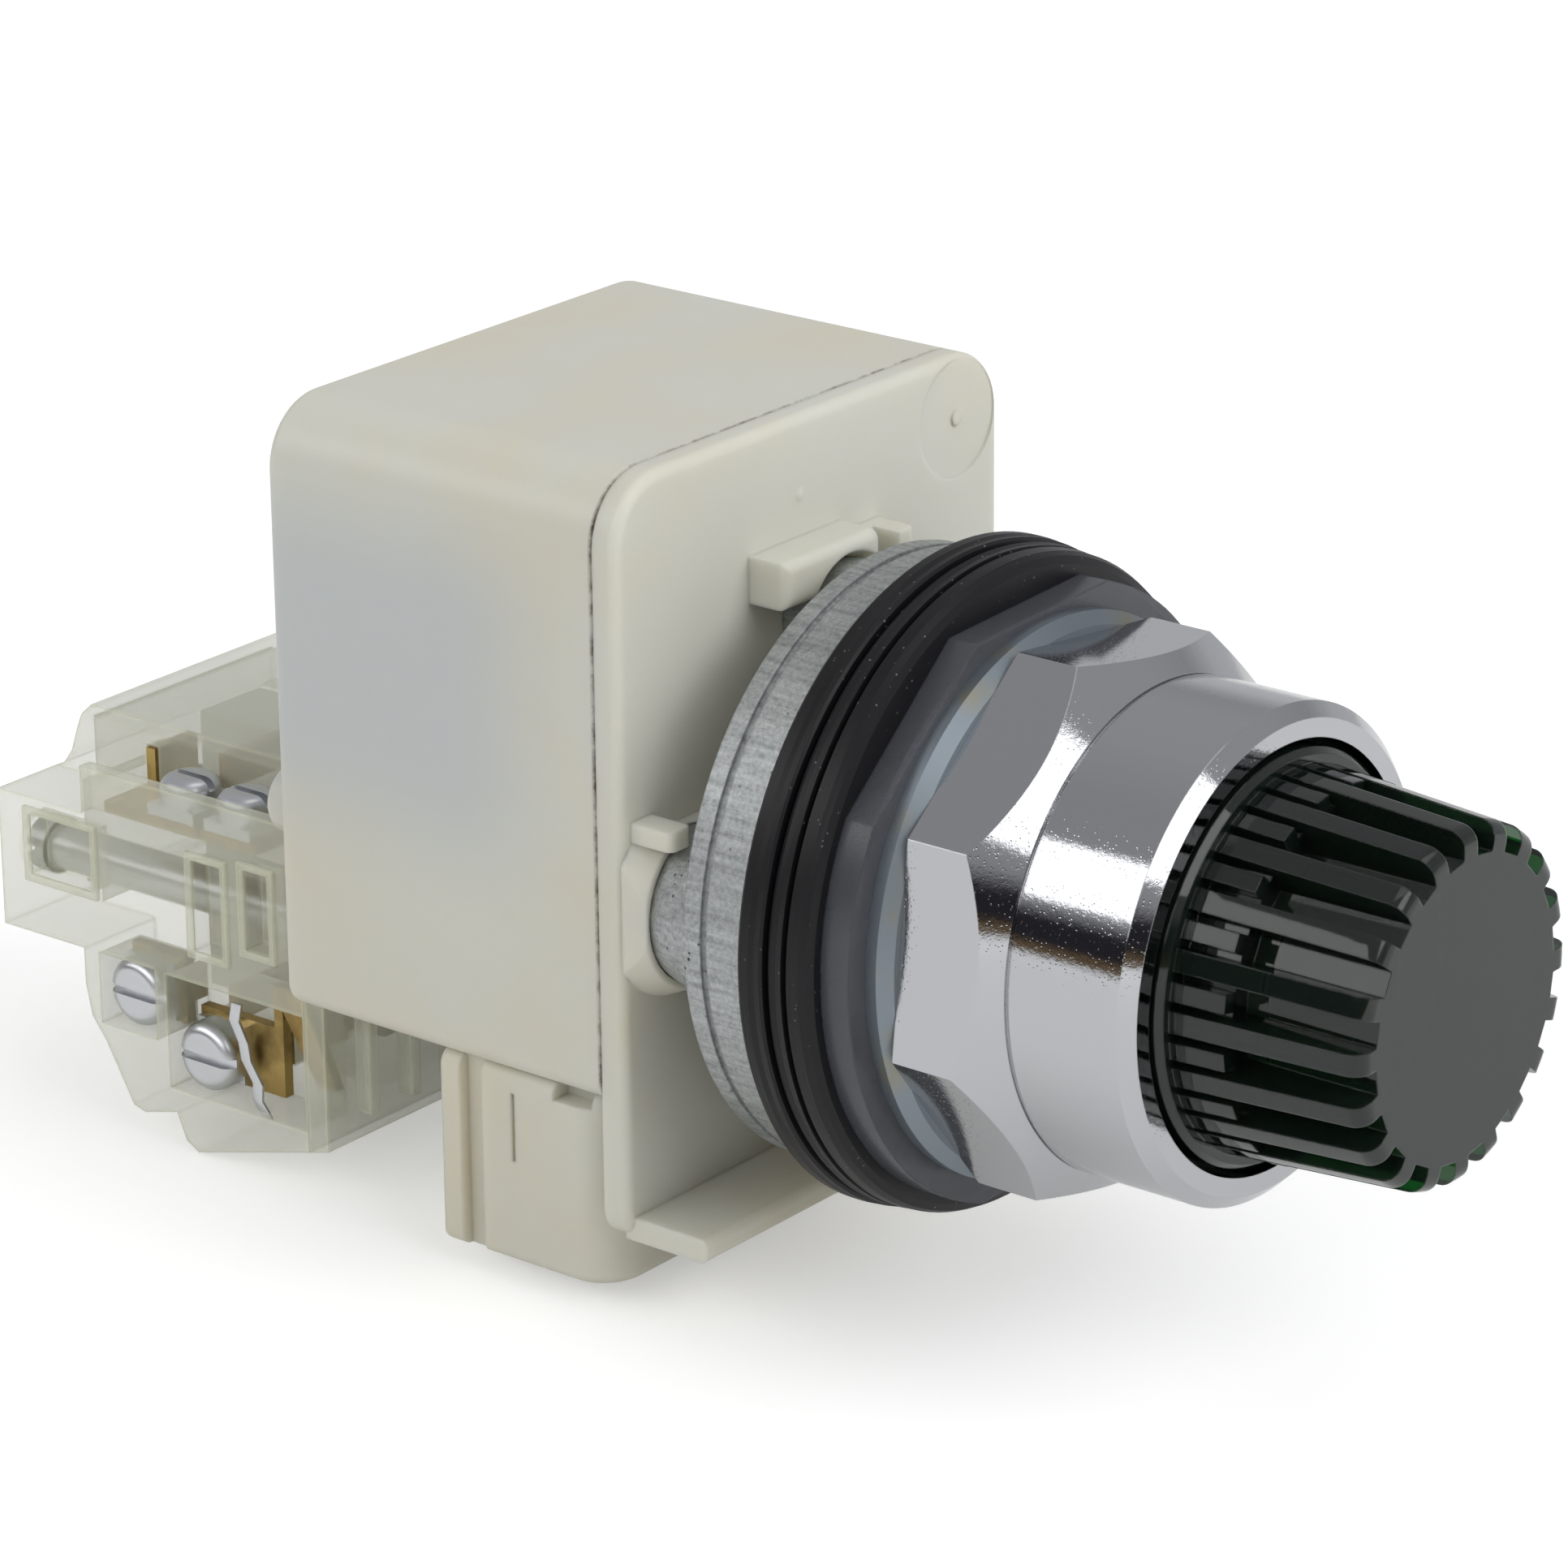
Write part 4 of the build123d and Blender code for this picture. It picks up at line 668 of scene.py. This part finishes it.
def round_edges(piece, radius):
    """Rounds every sharp edge of the active piece."""
    soften = piece.modifiers.new("rounded_edges", "BEVEL")
    soften.width = radius
    soften.segments = round_steps
    soften.limit_method = "ANGLE"
    bpy.ops.object.modifier_apply(modifier=soften.name)
    bpy.ops.object.shade_smooth_by_angle(angle=smooth_below)


for side in (-1, 1):
    for number, (y_span, z_span) in enumerate(window_spans, 1):
        outer = [[low * mm - frame_border, high * mm + frame_border] for low, high in (y_span, z_span)]
        middle = [sum(pair) / 2 for pair in outer]
        width, height = [pair[1] - pair[0] for pair in outer]
        thickness = frame_rise + frame_seat
        centre_x = side * (block_side + (frame_rise - frame_seat) / 2)
        bpy.ops.object.select_all(action="DESELECT")
        bpy.ops.mesh.primitive_cube_add(size=1, location=(centre_x, middle[0], middle[1]))
        bpy.ops.transform.resize(value=(thickness, width, height))
        bpy.ops.object.transform_apply(location=True, rotation=False, scale=True)
        border = bpy.context.object
        border.name = "window_frame_" + ("left" if side < 0 else "right") + f"_{number}"
        select_side_faces()
        bpy.ops.mesh.inset(thickness=frame_border, use_individual=True)
        bpy.ops.mesh.bridge_edge_loops()
        bpy.ops.object.mode_set(mode="OBJECT")
        round_edges(border, frame_round)
        border.data.materials.append(block_plastic)
        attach(border, "operator")

# Front ribs: upright clear ribs stiffen the lower part of the block's front cover, where it hangs
# free below the light module. They are moulded with the cover.
rib_count = 7
rib_pitch = 4.2 * mm
rib_thickness = 0.9 * mm
rib_depth = 1.4 * mm
rib_low, rib_high = -23.0 * mm, -14.2 * mm
rib_height = rib_high - rib_low
rib_seat = 0.10 * mm
rib_round = 0.12 * mm
block_front_y = 40.2 * mm
rib_centre = (0, block_front_y - rib_depth / 2 + rib_seat, (rib_low + rib_high) / 2)

bpy.ops.object.select_all(action="DESELECT")
bpy.ops.mesh.primitive_cube_add(size=1, location=rib_centre)
bpy.ops.transform.resize(value=(rib_thickness, rib_depth, rib_height))
bpy.ops.object.transform_apply(location=True, rotation=False, scale=True)
rib = bpy.context.object
round_edges(rib, rib_round)
rib.data.materials.append(block_plastic)
ribs = [rib]
for number in range(1, rib_count):
    bpy.ops.object.select_all(action="DESELECT")
    rib.select_set(True)
    bpy.ops.object.duplicate()
    ribs.append(bpy.context.selected_objects[0])
for number, piece in enumerate(ribs):
    bpy.ops.object.select_all(action="DESELECT")
    piece.select_set(True)
    bpy.context.view_layer.objects.active = piece
    bpy.ops.transform.translate(value=((number - (rib_count - 1) / 2) * rib_pitch, 0, 0))
    bpy.ops.object.transform_apply(location=True, rotation=False, scale=False)
    piece.name = f"front_rib_{number + 1}"
    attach(piece, "operator")

# Wavy strip: a thin bright steel strip in front of the lower terminals, bent to a loose zigzag from
# flat stock, with rounded bends.
strip_start = Vector((-15.2, 48.9, -16.6)) * mm
strip_steps = ((0.30, -1.3), (-0.80, -1.5), (-0.20, -1.2), (-1.00, -1.5), (0.10, -1.2), (-0.90, -1.1))
strip_width = 0.9 * mm
strip_thickness = 0.25 * mm
strip_round = 0.06 * mm

bpy.ops.object.select_all(action="DESELECT")
bpy.ops.mesh.primitive_plane_add(size=1, location=strip_start)
bpy.ops.transform.resize(value=(strip_thickness, strip_width, 1))
bpy.ops.object.transform_apply(location=True, rotation=False, scale=True)
strip = bpy.context.object
strip.name = "wavy_strip"
bpy.ops.object.mode_set(mode="EDIT")
bpy.ops.mesh.select_all(action="SELECT")
for step_y, step_z in strip_steps:
    bpy.ops.mesh.extrude_region_move(TRANSFORM_OT_translate={"value": (0, step_y * mm, step_z * mm)})
bpy.ops.mesh.select_all(action="SELECT")
bpy.ops.mesh.normals_make_consistent(inside=False)
bpy.ops.object.mode_set(mode="OBJECT")
round_edges(strip, strip_round)
strip.data.materials.append(bright_zinc)
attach(strip, "operator")
